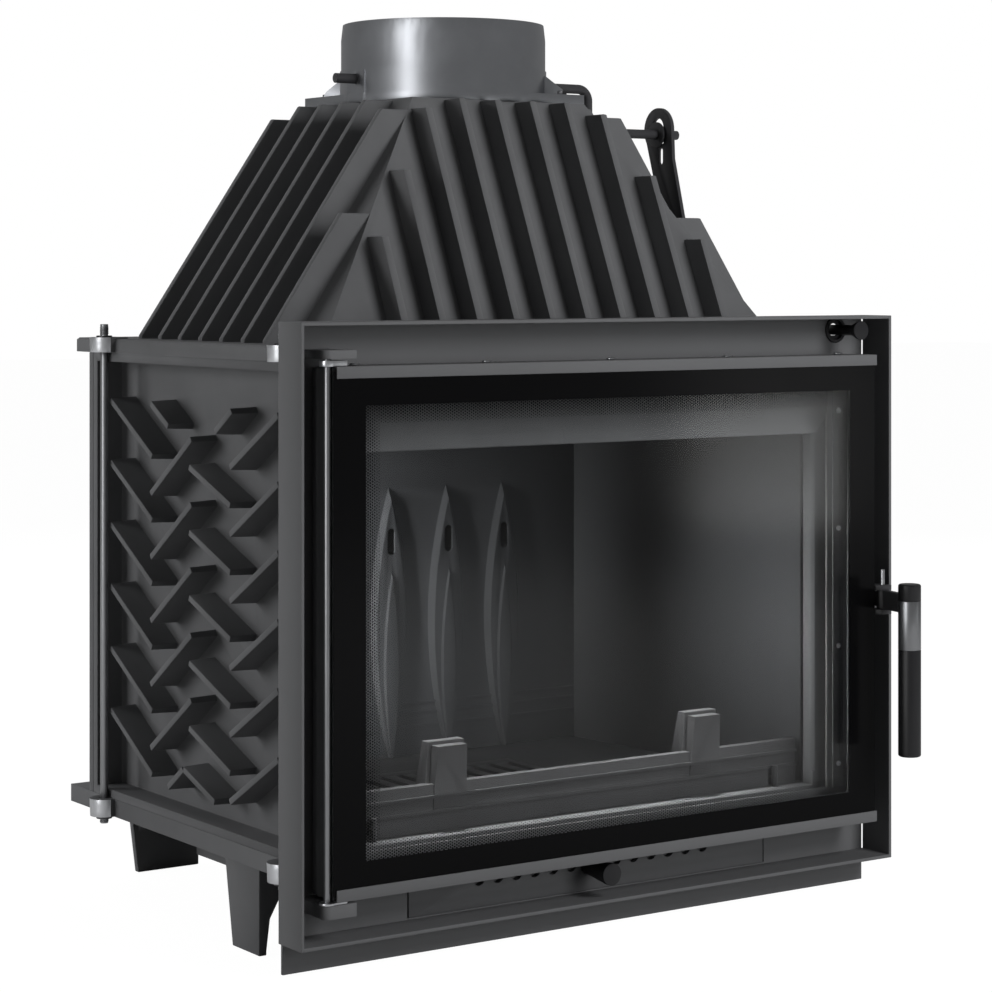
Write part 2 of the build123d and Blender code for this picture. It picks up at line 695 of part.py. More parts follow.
def back_casting():
    """The rear wall with a row of upright cooling ribs."""
    wall = slab(-BODY_HALF, BODY_HALF, SIDE_BACK, BACK_FACE, BASE_TOP, SIDE_TOP)
    ribs = []
    half = BACK_RIB_THICK / 2
    first = -BODY_HALF + BACK_RIB_INSET
    pitch = -2 * first / (BACK_RIBS - 1)
    low, high = BASE_TOP + BACK_RIB_END_GAP, SIDE_TOP - BACK_RIB_END_GAP
    for k in range(BACK_RIBS):
        x = first + k * pitch
        ribs.append(slab(x - half, x + half, BACK_FACE - 1, BACK_FACE + BACK_RIB_PROUD, low, high))
    return fused([wall] + ribs)


def hood_face_x(z):
    """Half width of the hood at a height."""
    share = (z - FLANGE_TOP) / HOOD_HEIGHT
    return HOOD_HALF_X + (HOOD_TOP_HALF - HOOD_HALF_X) * share


def hood_face_y(z):
    """Front face of the hood at a height."""
    share = (z - FLANGE_TOP) / HOOD_HEIGHT
    return HOOD_FRONT + (FLUE_Y - HOOD_TOP_HALF - HOOD_FRONT) * share


def hood_section(z, half_x, front, back):
    """One level of the hood's loft."""
    return Plane.XY.offset(z) * Pos(0, (front + back) / 2) * Rectangle(2 * half_x, back - front)


def fin(plane, points):
    """A cast fin: thick at its root plane, thinner outwards."""
    face = plane * Polygon(*points, align=None)
    return extrude(face, FIN_THICK / 2, both=True, taper=FIN_DRAFT)


def side_fin(y, top):
    """A fin on the right slope of the hood, square to Y."""
    foot = FLANGE_TOP - 1
    outline = [
        (hood_face_x(foot) - FIN_SINK, foot),
        (FIN_FOOT_LIMIT, foot),
        (FIN_FOOT_LIMIT, FLANGE_TOP + 3),
        (hood_face_x(top) + SIDE_FIN_PROUD, top),
        (hood_face_x(top) - FIN_SINK, top),
    ]
    return fin(Plane.XZ.offset(-y), outline)


def front_fin(x, top):
    """A fin on the front slope of the hood, square to X."""
    foot = FLANGE_TOP - 1
    outline = [
        (hood_face_y(foot) + FIN_SINK, foot),
        (hood_face_y(foot) - FRONT_FIN_PROUD, foot),
        (hood_face_y(top) - FRONT_FIN_PROUD, top),
        (hood_face_y(top) + FIN_SINK, top),
    ]
    return fin(Plane.YZ.offset(x), outline)


def hood_casting():
    """The smoke hood: flange with ears, a hollow pyramid and two sets of fins."""
    flange = slab(-BODY_HALF, BODY_HALF, PLATE_BACK, FLANGE_END, SIDE_TOP, FLANGE_TOP)
    flange = chamfer(flange.edges().group_by(Axis.Z)[-1], FLANGE_CHAMFER)
    top_front, top_back = FLUE_Y - HOOD_TOP_HALF, FLUE_Y + HOOD_TOP_HALF
    low = hood_section(FLANGE_TOP, HOOD_HALF_X, HOOD_FRONT, HOOD_BACK)
    high = hood_section(HOOD_TOP, HOOD_TOP_HALF, top_front, top_back)
    pieces = [flange, loft([low, high])]
    for step, drop in enumerate(SIDE_FIN_DROPS):
        right = side_fin(SIDE_FRONT + SIDE_FIN_SETBACK + step * FIN_PITCH, HOOD_TOP - drop)
        pieces += [right, mirrored(right)]
    for step, drop in enumerate(FRONT_FIN_DROPS):
        right = front_fin((step + 0.5) * FIN_PITCH, HOOD_TOP - drop)
        pieces += [right, mirrored(right)]
    pieces += lugs(SIDE_TOP + 1, FLANGE_TOP + LUG_TOP)
    hood = fused(pieces)
    wall = HOOD_WALL
    half = HOOD_HALF_X - wall
    front, back = HOOD_FRONT + wall, HOOD_BACK - wall
    inner_low = hood_section(FLANGE_TOP, half, front, back)
    inner_high = hood_section(HOOD_TOP, HOOD_TOP_HALF - wall, top_front + wall, top_back - wall)
    hood = hood - loft([inner_low, inner_high])
    hood = hood - slab(-half, half, front, back, SIDE_TOP - 1, FLANGE_TOP)
    for x, y in tie_places():
        hood = hood - tie_hole(x, y, SIDE_TOP, FLANGE_TOP + LUG_TOP)
    return hood


def flue_collar():
    """The round outlet: a flange with two ears, the spigot over its pipe stop, and shaft bosses."""
    z0, z1 = HOOD_TOP, COLLAR_TOP
    rim = Plane.XY.offset(z0) * Pos(0, FLUE_Y) * Circle(FLUE_RADIUS + COLLAR_RIM)
    flange = extrude(rim, COLLAR_FLANGE)
    half = HOOD_TOP_HALF
    ears = [
        slab(-half, 0, FLUE_Y, FLUE_Y + half, z0, z1),
        slab(0, half, FLUE_Y - half, FLUE_Y, z0, z1),
    ]
    profile = Polygon(
        (COLLAR_BORE, z0),
        (FLUE_RADIUS + STOP_PROUD, z0),
        (FLUE_RADIUS + STOP_PROUD, STOP_TOP),
        (FLUE_RADIUS, STOP_TOP),
        (FLUE_RADIUS, SPIGOT_TOP - LEAD_IN_LENGTH),
        (FLUE_RADIUS - LEAD_IN, SPIGOT_TOP),
        (COLLAR_BORE, SPIGOT_TOP),
        align=None,
    )
    axis = Axis((0, FLUE_Y, 0), (0, 0, 1))
    spigot = revolve(Pos(0, FLUE_Y) * (Plane.XZ * profile), axis)
    reach = FLUE_RADIUS + STOP_PROUD
    front, back = FLUE_Y - BOSS_HALF, FLUE_Y + BOSS_HALF
    bosses = slab(-reach, reach, front, back, z1 - 1, z1 + BOSS_HEIGHT)
    collar = fused([flange] + ears + [spigot, bosses] + collar_webs(z1))
    collar = collar - rod_z(COLLAR_BORE, z0 - 1, SPIGOT_TOP + 1, 0, FLUE_Y)
    for x, y in ear_bolt_places():
        collar = collar - rod_z(EAR_BOLT / 2 + 0.1, z0 - 1, z1 + 1, x, y)
    out = FLUE_RADIUS + SHAFT_OVERHANG
    return collar - rod_x(SHAFT_RADIUS + RUN_FIT, -out, out, FLUE_Y, SHAFT_Z)


def collar_webs(z1):
    """The two upright webs between the ears and the spigot."""
    inner = FLUE_RADIUS - 1
    outer = FLUE_RADIUS + WEB_REACH
    outline = [
        (inner, z1 - 1),
        (outer, z1 - 1),
        (outer - WEB_THICK, z1 + WEB_TOE),
        (FLUE_RADIUS + 1, z1 + WEB_HEIGHT),
        (inner, z1 + WEB_HEIGHT),
    ]
    web = prism_y(outline, -WEB_THICK / 2, WEB_THICK / 2)
    return [Pos(0, FLUE_Y) * Rot(0, 0, turn) * web for turn in (-45.0, 135.0)]


def ear_bolt_places():
    """The bolts sit in the ear corners, beside the webs."""
    reach = HOOD_TOP_HALF - EAR_BOLT_INSET
    side = reach - EAR_BOLT_SHIFT
    return [(side, FLUE_Y - reach), (-side, FLUE_Y + reach)]


def collar_bolts():
    """One hexagon screw in each ear."""
    bolts = []
    for x, y in ear_bolt_places():
        hexagon = Plane.XY.offset(COLLAR_TOP) * Pos(x, y) * RegularPolygon(EAR_BOLT_HEAD, 6)
        head = extrude(hexagon, EAR_BOLT_HEAD_HEIGHT)
        bolts.append(head + rod_z(EAR_BOLT / 2, HOOD_TOP, COLLAR_TOP + 1, x, y))
    return bolts


def tie_rods():
    """Four long rods with their ends standing out past the ears."""
    return [rod_z(TIE_RADIUS, TIE_LOW, TIE_HIGH, x, y) for x, y in tie_places()]


def rod_rings(radius, z0, z1):
    """A ring round each tie rod."""
    rings = []
    for x, y in tie_places():
        ring = rod_z(radius, z0, z1, x, y)
        rings.append(ring - rod_z(TIE_RADIUS + THREAD_FIT, z0 - 1, z1 + 1, x, y))
    return rings


def tie_rod_washers():
    """A washer on top of each upper ear."""
    low = FLANGE_TOP + LUG_TOP
    return rod_rings(TIE_WASHER_RADIUS, low, low + TIE_WASHER_THICK)


def tie_rod_nuts():
    """A thin nut under each lower ear."""
    return rod_rings(NUT_RADIUS, LEG_HEIGHT - NUT_THICK, LEG_HEIGHT)


def hearth_plate():
    """The firebox floor round the grate."""
    half = PANEL_INNER - LINING_GAP
    z0, z1 = BASE_TOP, HEARTH_TOP
    plate = slab(-half, half, SIDE_FRONT, SIDE_BACK - LINING_GAP, z0, z1)
    inner = GRATE_HALF_X + GRATE_GAP
    front, back = GRATE_FRONT - GRATE_GAP, GRATE_BACK + GRATE_GAP
    return plate - slab(-inner, inner, front, back, z0 - 1, z1 + 1)


def grate():
    """The slotted grate that lies on the base round the ash opening."""
    plate = slab(-GRATE_HALF_X, GRATE_HALF_X, GRATE_FRONT, GRATE_BACK, BASE_TOP, HEARTH_TOP)
    pitch = 2 * (GRATE_HALF_X - GRATE_LEDGE) / GRATE_SLOTS
    length = GRATE_DEPTH - 2 * GRATE_SLOT_END
    for k in range(GRATE_SLOTS):
        x = (k - (GRATE_SLOTS - 1) / 2) * pitch
        place = Pos(x, (GRATE_FRONT + GRATE_BACK) / 2)
        slot = place * SlotOverall(length, GRATE_SLOT_WIDTH, rotation=90)
        plate = plate - extrude(Plane.XY.offset(BASE_TOP - 1) * slot, HEARTH_THICK + 2)
    return plate


def lancet(x, width, z0, z1):
    """A tall pointed outline made of two arcs."""
    half = width / 2
    belly = z0 + (z1 - z0) * LANCET_BELLY
    left = ThreePointArc((x, z0), (x - half, belly), (x, z1))
    right = ThreePointArc((x, z1), (x + half, belly), (x, z0))
    return make_face([left, right])


def raised_lancet(x, width, top, root, proud, bevel):
    """A pointed relief with sloped edges, standing on a wall that faces the door."""
    foot = Plane.XZ.offset(-root) * lancet(x, width, HEARTH_TOP, top)
    slim = lancet(x, width - 2 * bevel, HEARTH_TOP, top - 3 * bevel)
    return loft([foot, Plane.XZ.offset(proud - root) * slim])


def back_lining():
    """The rear lining slab with a row of pointed reliefs and low ribs between them."""
    y0 = LINING_BACK_Y
    half = LINING_BACK_HALF + BACK_LINING_TUCK
    shape = slab(-half, half, y0, y0 + BACK_LINING_THICK, HEARTH_TOP, LINING_TOP)
    inner = LINING_BACK_HALF - LINING_GAP
    for rise, height in LOW_RIBS:
        z = HEARTH_TOP + rise
        shape = shape + slab(-inner, inner, y0 - LOW_RIB_PROUD, y0 + 1, z - height / 2, z + height / 2)
    top = HEARTH_TOP + LANCET_HEIGHT
    for k in range(LANCET_COUNT):
        x = (k - (LANCET_COUNT - 1) / 2) * LANCET_PITCH
        outer = raised_lancet(x, LANCET_WIDTH, top, y0, LANCET_PROUD, LANCET_BEVEL)
        root = y0 - LANCET_PROUD + 0.5
        inner = raised_lancet(x, INNER_WIDTH, top - INNER_DROP, root, INNER_BEVEL + 0.5, INNER_BEVEL)
        slot = Pos(x, top - SLOT_DROP) * SlotOverall(SLOT_LENGTH, SLOT_WIDTH, rotation=90)
        cutter = extrude(Plane.XZ.offset(-y0 - SLOT_DEEP) * slot, 2 * SLOT_DEEP)
        shape = shape + outer + inner - cutter
    return shape


def right_lining():
    """A side lining slab that leans in towards the back."""
    front, back = SIDE_FRONT + LINING_FRONT_GAP, LINING_BACK_Y - LINING_GAP
    front_half = LINING_BACK_HALF + LINING_LEAN
    points = [
        (LINING_BACK_HALF + LINING_GAP, back),
        (front_half, front),
        (front_half + LINING_THICK, front),
        (LINING_BACK_HALF + BACK_LINING_TUCK, back),
    ]
    return prism_z(points, HEARTH_TOP, LINING_TOP)


def smoke_baffle():
    """The slab over the fire that rests on the linings."""
    half = PANEL_INNER - BAFFLE_SIDE_GAP
    front, back = SIDE_FRONT + BAFFLE_SETBACK, LINING_BACK_Y + BACK_LINING_THICK
    return slab(-half, half, front, back, LINING_TOP, LINING_TOP + BAFFLE_THICK)


def guard_block(x, foot, head, height):
    """A tapered block: width, setback from the bar's front and depth at its foot and its head."""
    levels = []
    for z, (width, setback, depth) in ((HEARTH_TOP, foot), (HEARTH_TOP + height, head)):
        middle = GUARD_FRONT + setback + depth / 2
        levels.append(Plane.XY.offset(z) * Pos(x, middle) * Rectangle(width, depth))
    return loft(levels)


def log_guard():
    """The bar that holds logs back, with two ridges, two stepped posts and two studs."""
    y0, z0 = GUARD_FRONT, HEARTH_TOP
    pieces = [slab(-GUARD_HALF, GUARD_HALF, y0, y0 + GUARD_THICK, z0, z0 + GUARD_HEIGHT)]
    half = RIDGE_HEIGHT / 2
    for rise in GUARD_RIDGES:
        z = z0 + rise
        pieces.append(slab(-GUARD_HALF, GUARD_HALF, y0 - RIDGE_PROUD, y0 + 1, z - half, z + half))
    for x in (-OPENING_HALF * POST_SHARE, OPENING_HALF * POST_SHARE):
        pieces.append(guard_block(x, POST_FOOT, POST_HEAD, POST_HEIGHT))
        pieces.append(guard_block(x, STEP_FOOT, STEP_HEAD, POST_HEIGHT + STEP_RISE))
    stud = GUARD_HALF - GUARD_STUD_INSET
    for x in (-stud, stud):
        y = y0 - GUARD_STUD_REACH
        pieces.append(rod_z(GUARD_STUD_RADIUS, z0, z0 + GUARD_STUD_HEIGHT, x, y))
        pieces.append(slab(x - 2, x + 2, y, y0 + 1, z0 + 2, z0 + 10))
    return fused(pieces)


def ash_box():
    """The sheet box under the base, open at the front and the top, with two runners."""
    wall = TRAY_WALL
    inner, end = BOX_HALF - wall, BOX_END - wall
    outer = slab(-BOX_HALF, BOX_HALF, BOX_FRONT, BOX_END, BOX_LOW, LEG_HEIGHT)
    shell = outer - slab(-inner, inner, BOX_FRONT - 1, end, BOX_LOW + wall, LEG_HEIGHT + 1)
    top = TRAY_LOW - REST_GAP
    half = RUNNER_WIDTH / 2
    for x in (-RUNNER_X, RUNNER_X):
        shell = shell + slab(x - half, x + half, BOX_FRONT + 5, end, BOX_LOW + wall, top)
    return shell


def drawer_front():
    """The drawer's front panel with two rows of air holes and the knob's slot."""
    panel = slab(-DRAWER_HALF, DRAWER_HALF, PANEL_FRONT, PANEL_BACK, DRAWER_LOW, DRAWER_HIGH)
    for x in air_hole_places():
        panel = panel - rod_y(AIR_HOLE, PANEL_FRONT - 1, PANEL_BACK + 1, x, AIR_HOLE_Z)
    low = AIR_KNOB_X - AIR_TRAVEL_LEFT
    high = AIR_KNOB_X + AIR_TRAVEL_RIGHT
    width = 2 * (AIR_SHAFT + AIR_SLOT_GAP)
    slot = Pos((low + high) / 2, AIR_KNOB_Z) * SlotCenterToCenter(high - low, width)
    return panel - extrude(Plane.XZ.offset(-PANEL_BACK - 1) * slot, SHEET + 2)


def air_hole_places():
    """Places of the air holes along X, in two groups."""
    right = [AIR_HOLE_FIRST + k * AIR_HOLE_PITCH for k in range(AIR_HOLE_COUNT)]
    return [-x for x in right] + right


def ash_tray():
    """The pan behind the front panel, joined to it by two side tabs."""
    wall = TRAY_WALL
    low, high = TRAY_LOW, TRAY_LOW + TRAY_HEIGHT
    inner = TRAY_HALF - wall
    front, end = TRAY_FRONT + wall, TRAY_END - wall
    pan = slab(-TRAY_HALF, TRAY_HALF, TRAY_FRONT, TRAY_END, low, high)
    pan = pan - slab(-inner, inner, front, end, low + wall, high + 1)
    half = TRAY_TAB / 2
    for x in (-TRAY_HALF + half + wall, TRAY_HALF - half - wall):
        pan = pan + slab(x - half, x + half, PANEL_BACK, TRAY_FRONT + 1, low + wall, high - wall)
    return pan


def air_slide_plate():
    """The sliding plate behind the panel, with holes that match the panel's."""
    y0 = PANEL_BACK + REST_GAP
    y1 = y0 + SLIDER_THICK
    plate = slab(-SLIDER_HALF, SLIDER_HALF, y0, y1, AIR_KNOB_Z - 6, DRAWER_HIGH - 1)
    for x in air_hole_places():
        plate = plate - rod_y(AIR_HOLE, y0 - 1, y1 + 1, x, AIR_HOLE_Z)
    return plate


def air_knob():
    """A flared knob with its stem through the panel's slot."""
    end = PANEL_BACK + REST_GAP
    shoulder = PANEL_FRONT - 0.5
    profile = Polygon(
        (0, 0),
        (AIR_KNOB_RADIUS, 0),
        (AIR_KNOB_RADIUS, 2.5),
        (AIR_KNOB_NECK, PANEL_FRONT - AIR_KNOB_CONE),
        (AIR_KNOB_NECK, shoulder),
        (AIR_SHAFT, shoulder),
        (AIR_SHAFT, end),
        (0, end),
        align=None,
    )
    knob = revolve(Plane.XY * profile, Axis.Y)
    return Pos(AIR_KNOB_X, 0, AIR_KNOB_Z) * knob


def door_frame():
    """A channel ring: front flange, side web and rear flange that carries the rope."""
    half = DOOR_FRAME_HALF
    low, high = DOOR_BOTTOM + TRIM_SHEET, DOOR_TOP - TRIM_SHEET
    y0, y1 = GLASS_BACK, DOOR_BACK
    wall = DOOR_FRAME_WALL
    outer = slab(-half, half, y0, y1, low, high)
    hollow = slab(-half + wall, half - wall, y0 + wall, y1 - wall, low + wall, high - wall)
    window = slab(-WINDOW_HALF, WINDOW_HALF, y0 - 1, y1 + 1, WINDOW_LOW, WINDOW_HIGH)
    return outer - hollow - window


def door_glass():
    """The flat glass pane."""
    gap = TRIM_SHEET + GLASS_END_GAP
    low, high = DOOR_BOTTOM + gap, DOOR_TOP - gap
    return slab(-GLASS_HALF, GLASS_HALF, GLASS_FRONT, GLASS_BACK, low, high)


def top_trim_profile():
    """An angle: lip in front of the glass and a flange going back."""
    front = GLASS_FRONT - TRIM_SHEET
    lip = DOOR_TOP - TRIM_LIP
    under = DOOR_TOP - TRIM_SHEET
    return [
        (front, lip),
        (GLASS_FRONT, lip),
        (GLASS_FRONT, under),
        (TRIM_BACK, under),
        (TRIM_BACK, DOOR_TOP),
        (front, DOOR_TOP),
    ]


def door_top_trim():
    """The angle along the top of the door."""
    return prism_x(top_trim_profile(), -DOOR_HALF + TRIM_HINGE_GAP, DOOR_HALF)


def door_bottom_trim():
    """The same angle turned over, along the bottom."""
    middle = DOOR_TOP + DOOR_BOTTOM
    points = [(y, middle - z) for y, z in top_trim_profile()]
    return prism_x(points[::-1], -DOOR_HALF + TRIM_HINGE_GAP, DOOR_HALF)


def trim_screws():
    """Five domed heads on the top trim and five under the bottom trim."""
    heads = []
    middle = Plane.XY.offset((DOOR_TOP + DOOR_BOTTOM) / 2)
    for k in range(-2, 3):
        x = k * TRIM_SCREW_PITCH
        head = rod_z(TRIM_SCREW, DOOR_TOP, DOOR_TOP + TRIM_SCREW_HEIGHT, x, TRIM_SCREW_Y)
        top = fillet(head.edges().group_by(Axis.Z)[-1], TRIM_SCREW_HEIGHT * 0.6)
        heads += [top, mirror(top, about=middle)]
    return heads


def glass_retainers():
    """A strip down each side, screwed to the rear flange inside the channel."""
    x0, x1 = RETAINER_X, RETAINER_X + RETAINER_WIDTH
    front = RETAINER_BACK - RETAINER_THICK
    strip = slab(x0, x1, front, RETAINER_BACK, WINDOW_LOW, WINDOW_HIGH)
    return [strip, mirrored(strip)]


def retainer_screws():
    """The heads on the two strips."""
    back = RETAINER_BACK - RETAINER_THICK
    x = RETAINER_X + RETAINER_WIDTH / 2
    first, last = WINDOW_LOW + RETAINER_SCREW_END, WINDOW_HIGH - RETAINER_SCREW_END
    heads = []
    for k in range(RETAINER_SCREWS):
        z = first + k * (last - first) / (RETAINER_SCREWS - 1)
        for place in (-x, x):
            heads.append(rod_y(RETAINER_SCREW, back - RETAINER_SCREW_HEAD, back, place, z))
    return heads


def door_seal():
    """The rope ring between the door and the casting."""
    y0, y1 = DOOR_BACK, FRAME_DEPTH - ROPE_GAP
    outer = ROPE_INNER + ROPE_WIDTH
    ring = slab(-outer, outer, y0, y1, ROPE_LOW, ROPE_HIGH)
    low, high = ROPE_LOW + ROPE_WIDTH, ROPE_HIGH - ROPE_WIDTH
    return ring - slab(-ROPE_INNER, ROPE_INNER, y0 - 1, y1 + 1, low, high)


def hinge_rod():
    """The long bright rod that the door turns on."""
    return rod_z(HINGE_ROD, ROD_BOTTOM, ROD_TOP, HINGE_X, 0)


def door_ears():
    """Two small plates that tie the rod to the trims."""
    ears = []
    low = BRACKET_LOW + BRACKET_LOW_HEIGHT + REST_GAP
    for z0, z1 in ((DOOR_TOP, DOOR_TOP + EAR_THICK), (low, DOOR_BOTTOM)):
        plate = slab(HINGE_X, HINGE_X + EAR_REACH, -EAR_HALF + 1, EAR_HALF - 1, z0, z1)
        plate = plate + rod_z(EAR_HALF, z0, z1, HINGE_X, 0)
        ears.append(plate - rod_z(HINGE_ROD, z0 - 1, z1 + 1, HINGE_X, 0))
    return ears


def hinge_bracket(z0, height, open_above):
    """A bar from the front plate to the hinge line with a blind bore for the rod."""
    boss = rod_z(EAR_HALF - 1, z0, z0 + height, HINGE_X, 0)
    left, right, front = BRACKET_BAR
    outline = [
        (HINGE_X + left, 0),
        (HINGE_X, front),
        (HINGE_X + right, front),
        (HINGE_X + right, FRAME_DEPTH),
        (HINGE_X + left, FRAME_DEPTH),
    ]
    bar = prism_z(outline, z0, z0 + height)
    low, high = z0 - 1, ROD_TOP + REST_GAP
    if open_above:
        low, high = ROD_BOTTOM - REST_GAP, z0 + height + 1
    return boss + bar - rod_z(HINGE_ROD + RUN_FIT, low, high, HINGE_X, 0)


def handle_bracket():
    """Two ears on the door's edge that hold the handle's pin."""
    low, high = ARM_LOW - BRACKET_EAR, ARM_LOW + ARM_HEIGHT + BRACKET_EAR
    front, back = BRACKET_WEB
    inner, outer = PIVOT_X - BRACKET_HALF, PIVOT_X + BRACKET_HALF
    nose = PIVOT_Y - BRACKET_HALF
    outline = [
        (DOOR_FRAME_HALF, front),
        (DOOR_FRAME_HALF, back),
        (inner, back),
        (outer, -PIVOT_Y - 4),
        (outer, nose),
        (inner, nose),
        (DOOR_FRAME_HALF + 3, PIVOT_Y - 1),
        (DOOR_FRAME_HALF + 3, front),
    ]
    ears = prism_z(outline, low, ARM_LOW - REST_GAP)
    ears = ears + prism_z(outline, ARM_LOW + ARM_HEIGHT + REST_GAP, high)
    web = slab(DOOR_FRAME_HALF, DOOR_FRAME_HALF + 3, front, back, low, high)
    return ears + web - rod_z(PIN_RADIUS, low - 1, high + 1, PIVOT_X, PIVOT_Y)


def handle_pin():
    """The bright pin that stands up out of the bracket."""
    return rod_z(PIN_RADIUS, ARM_LOW - BRACKET_EAR, PIN_TOP, PIVOT_X, PIVOT_Y)


def handle_arm():
    """The flat arm from the pivot to the grip, with the locking nose behind the pivot."""
    z0, z1 = ARM_LOW, ARM_LOW + ARM_HEIGHT
    boss = rod_z(ARM_BOSS, z0, z1, PIVOT_X, PIVOT_Y)
    root = PIVOT_Y - 3
    bar = [
        (PIVOT_X - 3, root),
        (GRIP_X - 3, GRIP_Y + 6),
        (GRIP_X + 3, GRIP_Y + 4),
        (PIVOT_X + 4, root),
    ]
    nose = [
        (PIVOT_X - 3.5, PIVOT_Y + 1),
        (PIVOT_X - 2.5, PIVOT_Y + 13),
        (PIVOT_X + 3, PIVOT_Y + 14),
        (PIVOT_X + 3.5, PIVOT_Y + 1),
    ]
    arm = boss + prism_z(bar, z0, z1) + prism_z(nose, z0 + 2, z1 - 2)
    arm = arm - rod_z(PIN_RADIUS + RUN_FIT, z0 - 1, z1 + 1, PIVOT_X, PIVOT_Y)
    return arm - rod_z(GRIP_RADIUS, z0 - 1, z1 + 1, GRIP_X, GRIP_Y)


def grip_piece(z0, z1, round_low, round_high):
    """One length of the round grip, with rounded ends where asked."""
    piece = rod_z(GRIP_RADIUS, z0, z1, GRIP_X, GRIP_Y)
    if round_low:
        piece = fillet(piece.edges().group_by(Axis.Z)[0], GRIP_ROUND)
    if round_high:
        piece = fillet(piece.edges().group_by(Axis.Z)[-1], GRIP_ROUND)
    return piece


def door_catch():
    """The keeper on the front plate that the nose closes against."""
    outer = PIVOT_X + BRACKET_HALF
    inner = PIVOT_X - BRACKET_HALF - 1
    foot = FRAME_DEPTH - 2.5
    outline = [
        (inner, FRAME_DEPTH),
        (inner, foot),
        (PIVOT_X, foot),
        (PIVOT_X, CATCH_LIP),
        (outer, CATCH_LIP),
        (outer, FRAME_DEPTH),
    ]
    return prism_z(outline, ARM_LOW - CATCH_MARGIN, ARM_LOW + ARM_HEIGHT + CATCH_MARGIN)


def tilted(shape):
    """A shape of the flap turned from level to its tilt at rest."""
    return Pos(0, FLUE_Y, SHAFT_Z) * Rot(FLAP_TILT, 0, 0) * shape


def damper_flap():
    """The round flap that lies against the shaft."""
    low, high = SHAFT_RADIUS, SHAFT_RADIUS + FLAP_THICK
    disc = rod_z(FLAP_RADIUS, low, high, 0, 0)
    for x in (-FLAP_SCREW_X, FLAP_SCREW_X):
        disc = disc - rod_z(FLAP_SCREW, low - 1, high + 1, x, 0)
    return tilted(disc)


def flap_screws():
    """Two screws that hold the flap on the shaft."""
    screws = []
    seat = SHAFT_RADIUS + FLAP_THICK
    for x in (-FLAP_SCREW_X, FLAP_SCREW_X):
        stem = rod_z(FLAP_SCREW, SHAFT_RADIUS, seat + 1, x, 0)
        head = rod_z(FLAP_SCREW_HEAD, seat, seat + FLAP_SCREW_HEIGHT, x, 0)
        screws.append(tilted(stem + head))
    return screws


def damper_crank():
    """A bent round bar: the flap's shaft, one throw down and the crank pin."""
    path = FilletPolyline(
        (SHAFT_LEFT, FLUE_Y, SHAFT_Z),
        (CRANK_X, FLUE_Y, SHAFT_Z),
        (CRANK_X, FLUE_Y, CRANK_Z),
        (CRANK_END, FLUE_Y, CRANK_Z),
        radius=CRANK_BEND,
    )
    section = Plane.YZ.offset(SHAFT_LEFT) * Pos(FLUE_Y, SHAFT_Z) * Circle(SHAFT_RADIUS)
    return sweep(section, path=path)


def damper_washer():
    """The washer on the crank pin beside the yoke."""
    x1 = YOKE_X - WASHER_GAP
    x0 = x1 - WASHER_THICK
    ring = rod_x(WASHER_RADIUS, x0, x1, FLUE_Y, CRANK_Z)
    return ring - rod_x(SHAFT_RADIUS + THREAD_FIT, x0 - 1, x1 + 1, FLUE_Y, CRANK_Z)


def yoke_face():
    """The yoke's flat outline with its slot for the crank pin and a small hole below it."""
    head_z = CRANK_Z + YOKE_HEAD_RISE
    neck = CRANK_Z - YOKE_NECK_DROP
    left, right = FLUE_Y - YOKE_HEAD_RADIUS, FLUE_Y + YOKE_HEAD_RADIUS
    foot = FLANGE_TOP + 1.8
    body = Polygon(
        (left, head_z),
        (left - 1.5, neck),
        (YOKE_FOOT_Y - YOKE_FOOT_HALF, foot),
        (YOKE_FOOT_Y + YOKE_FOOT_HALF, foot),
        (right - 11, neck - 5),
        (right, head_z),
        align=None,
    )
    face = body + Pos(FLUE_Y, head_z) * Circle(YOKE_HEAD_RADIUS)
    slot_top = CRANK_Z + YOKE_SLOT_RISE
    slot = Pos(FLUE_Y, slot_top) * Circle(YOKE_SLOT_HALF)
    middle = slot_top - YOKE_SLOT_DROP / 2
    slot = slot + Pos(FLUE_Y, middle) * Rectangle(2 * YOKE_SLOT_HALF, YOKE_SLOT_DROP)
    length, width = YOKE_HOLE
    hole = Pos(FLUE_Y - 4.6, neck + 3) * SlotOverall(length, width, rotation=90)
    return face - slot - hole


def yoke_arm():
    """A slotted arm from the pull rod up to the crank pin, stepped outwards near its foot."""
    x0, x1 = YOKE_X, YOKE_X + YOKE_THICK
    x2, x3 = ROD_X - YOKE_THICK / 2, ROD_X + YOKE_THICK / 2
    blank = extrude(Plane.YZ.offset(x0 - 5) * yoke_face(), x3 - x0 + 10, dir=(1, 0, 0))
    bend_low, bend_high = (ROD_Z + rise for rise in YOKE_BEND)
    high = HOOD_TOP + 20
    low = FLANGE_TOP
    section = [
        (x0, bend_high),
        (x0, high),
        (x1, high),
        (x1, bend_high + 2),
        (x3, bend_low + 2),
        (x3, low),
        (x2, low),
        (x2, bend_low),
    ]
    front, back = YOKE_FOOT_Y - SLEEVE_HALF, YOKE_FOOT_Y + SLEEVE_HALF
    arm = blank & prism_y(section, YOKE_FOOT_Y - 80, FLUE_Y + 60)
    arm = arm + rod_y(SLEEVE_RADIUS, front, back, ROD_X, ROD_Z)
    return arm - rod_y(ROD_RADIUS, front - 50, back + 50, ROD_X, ROD_Z)


def pull_rod():
    """The round rod between the knob and the yoke."""
    return rod_y(ROD_RADIUS, KNOB_LENGTH, ROD_END, ROD_X, ROD_Z)


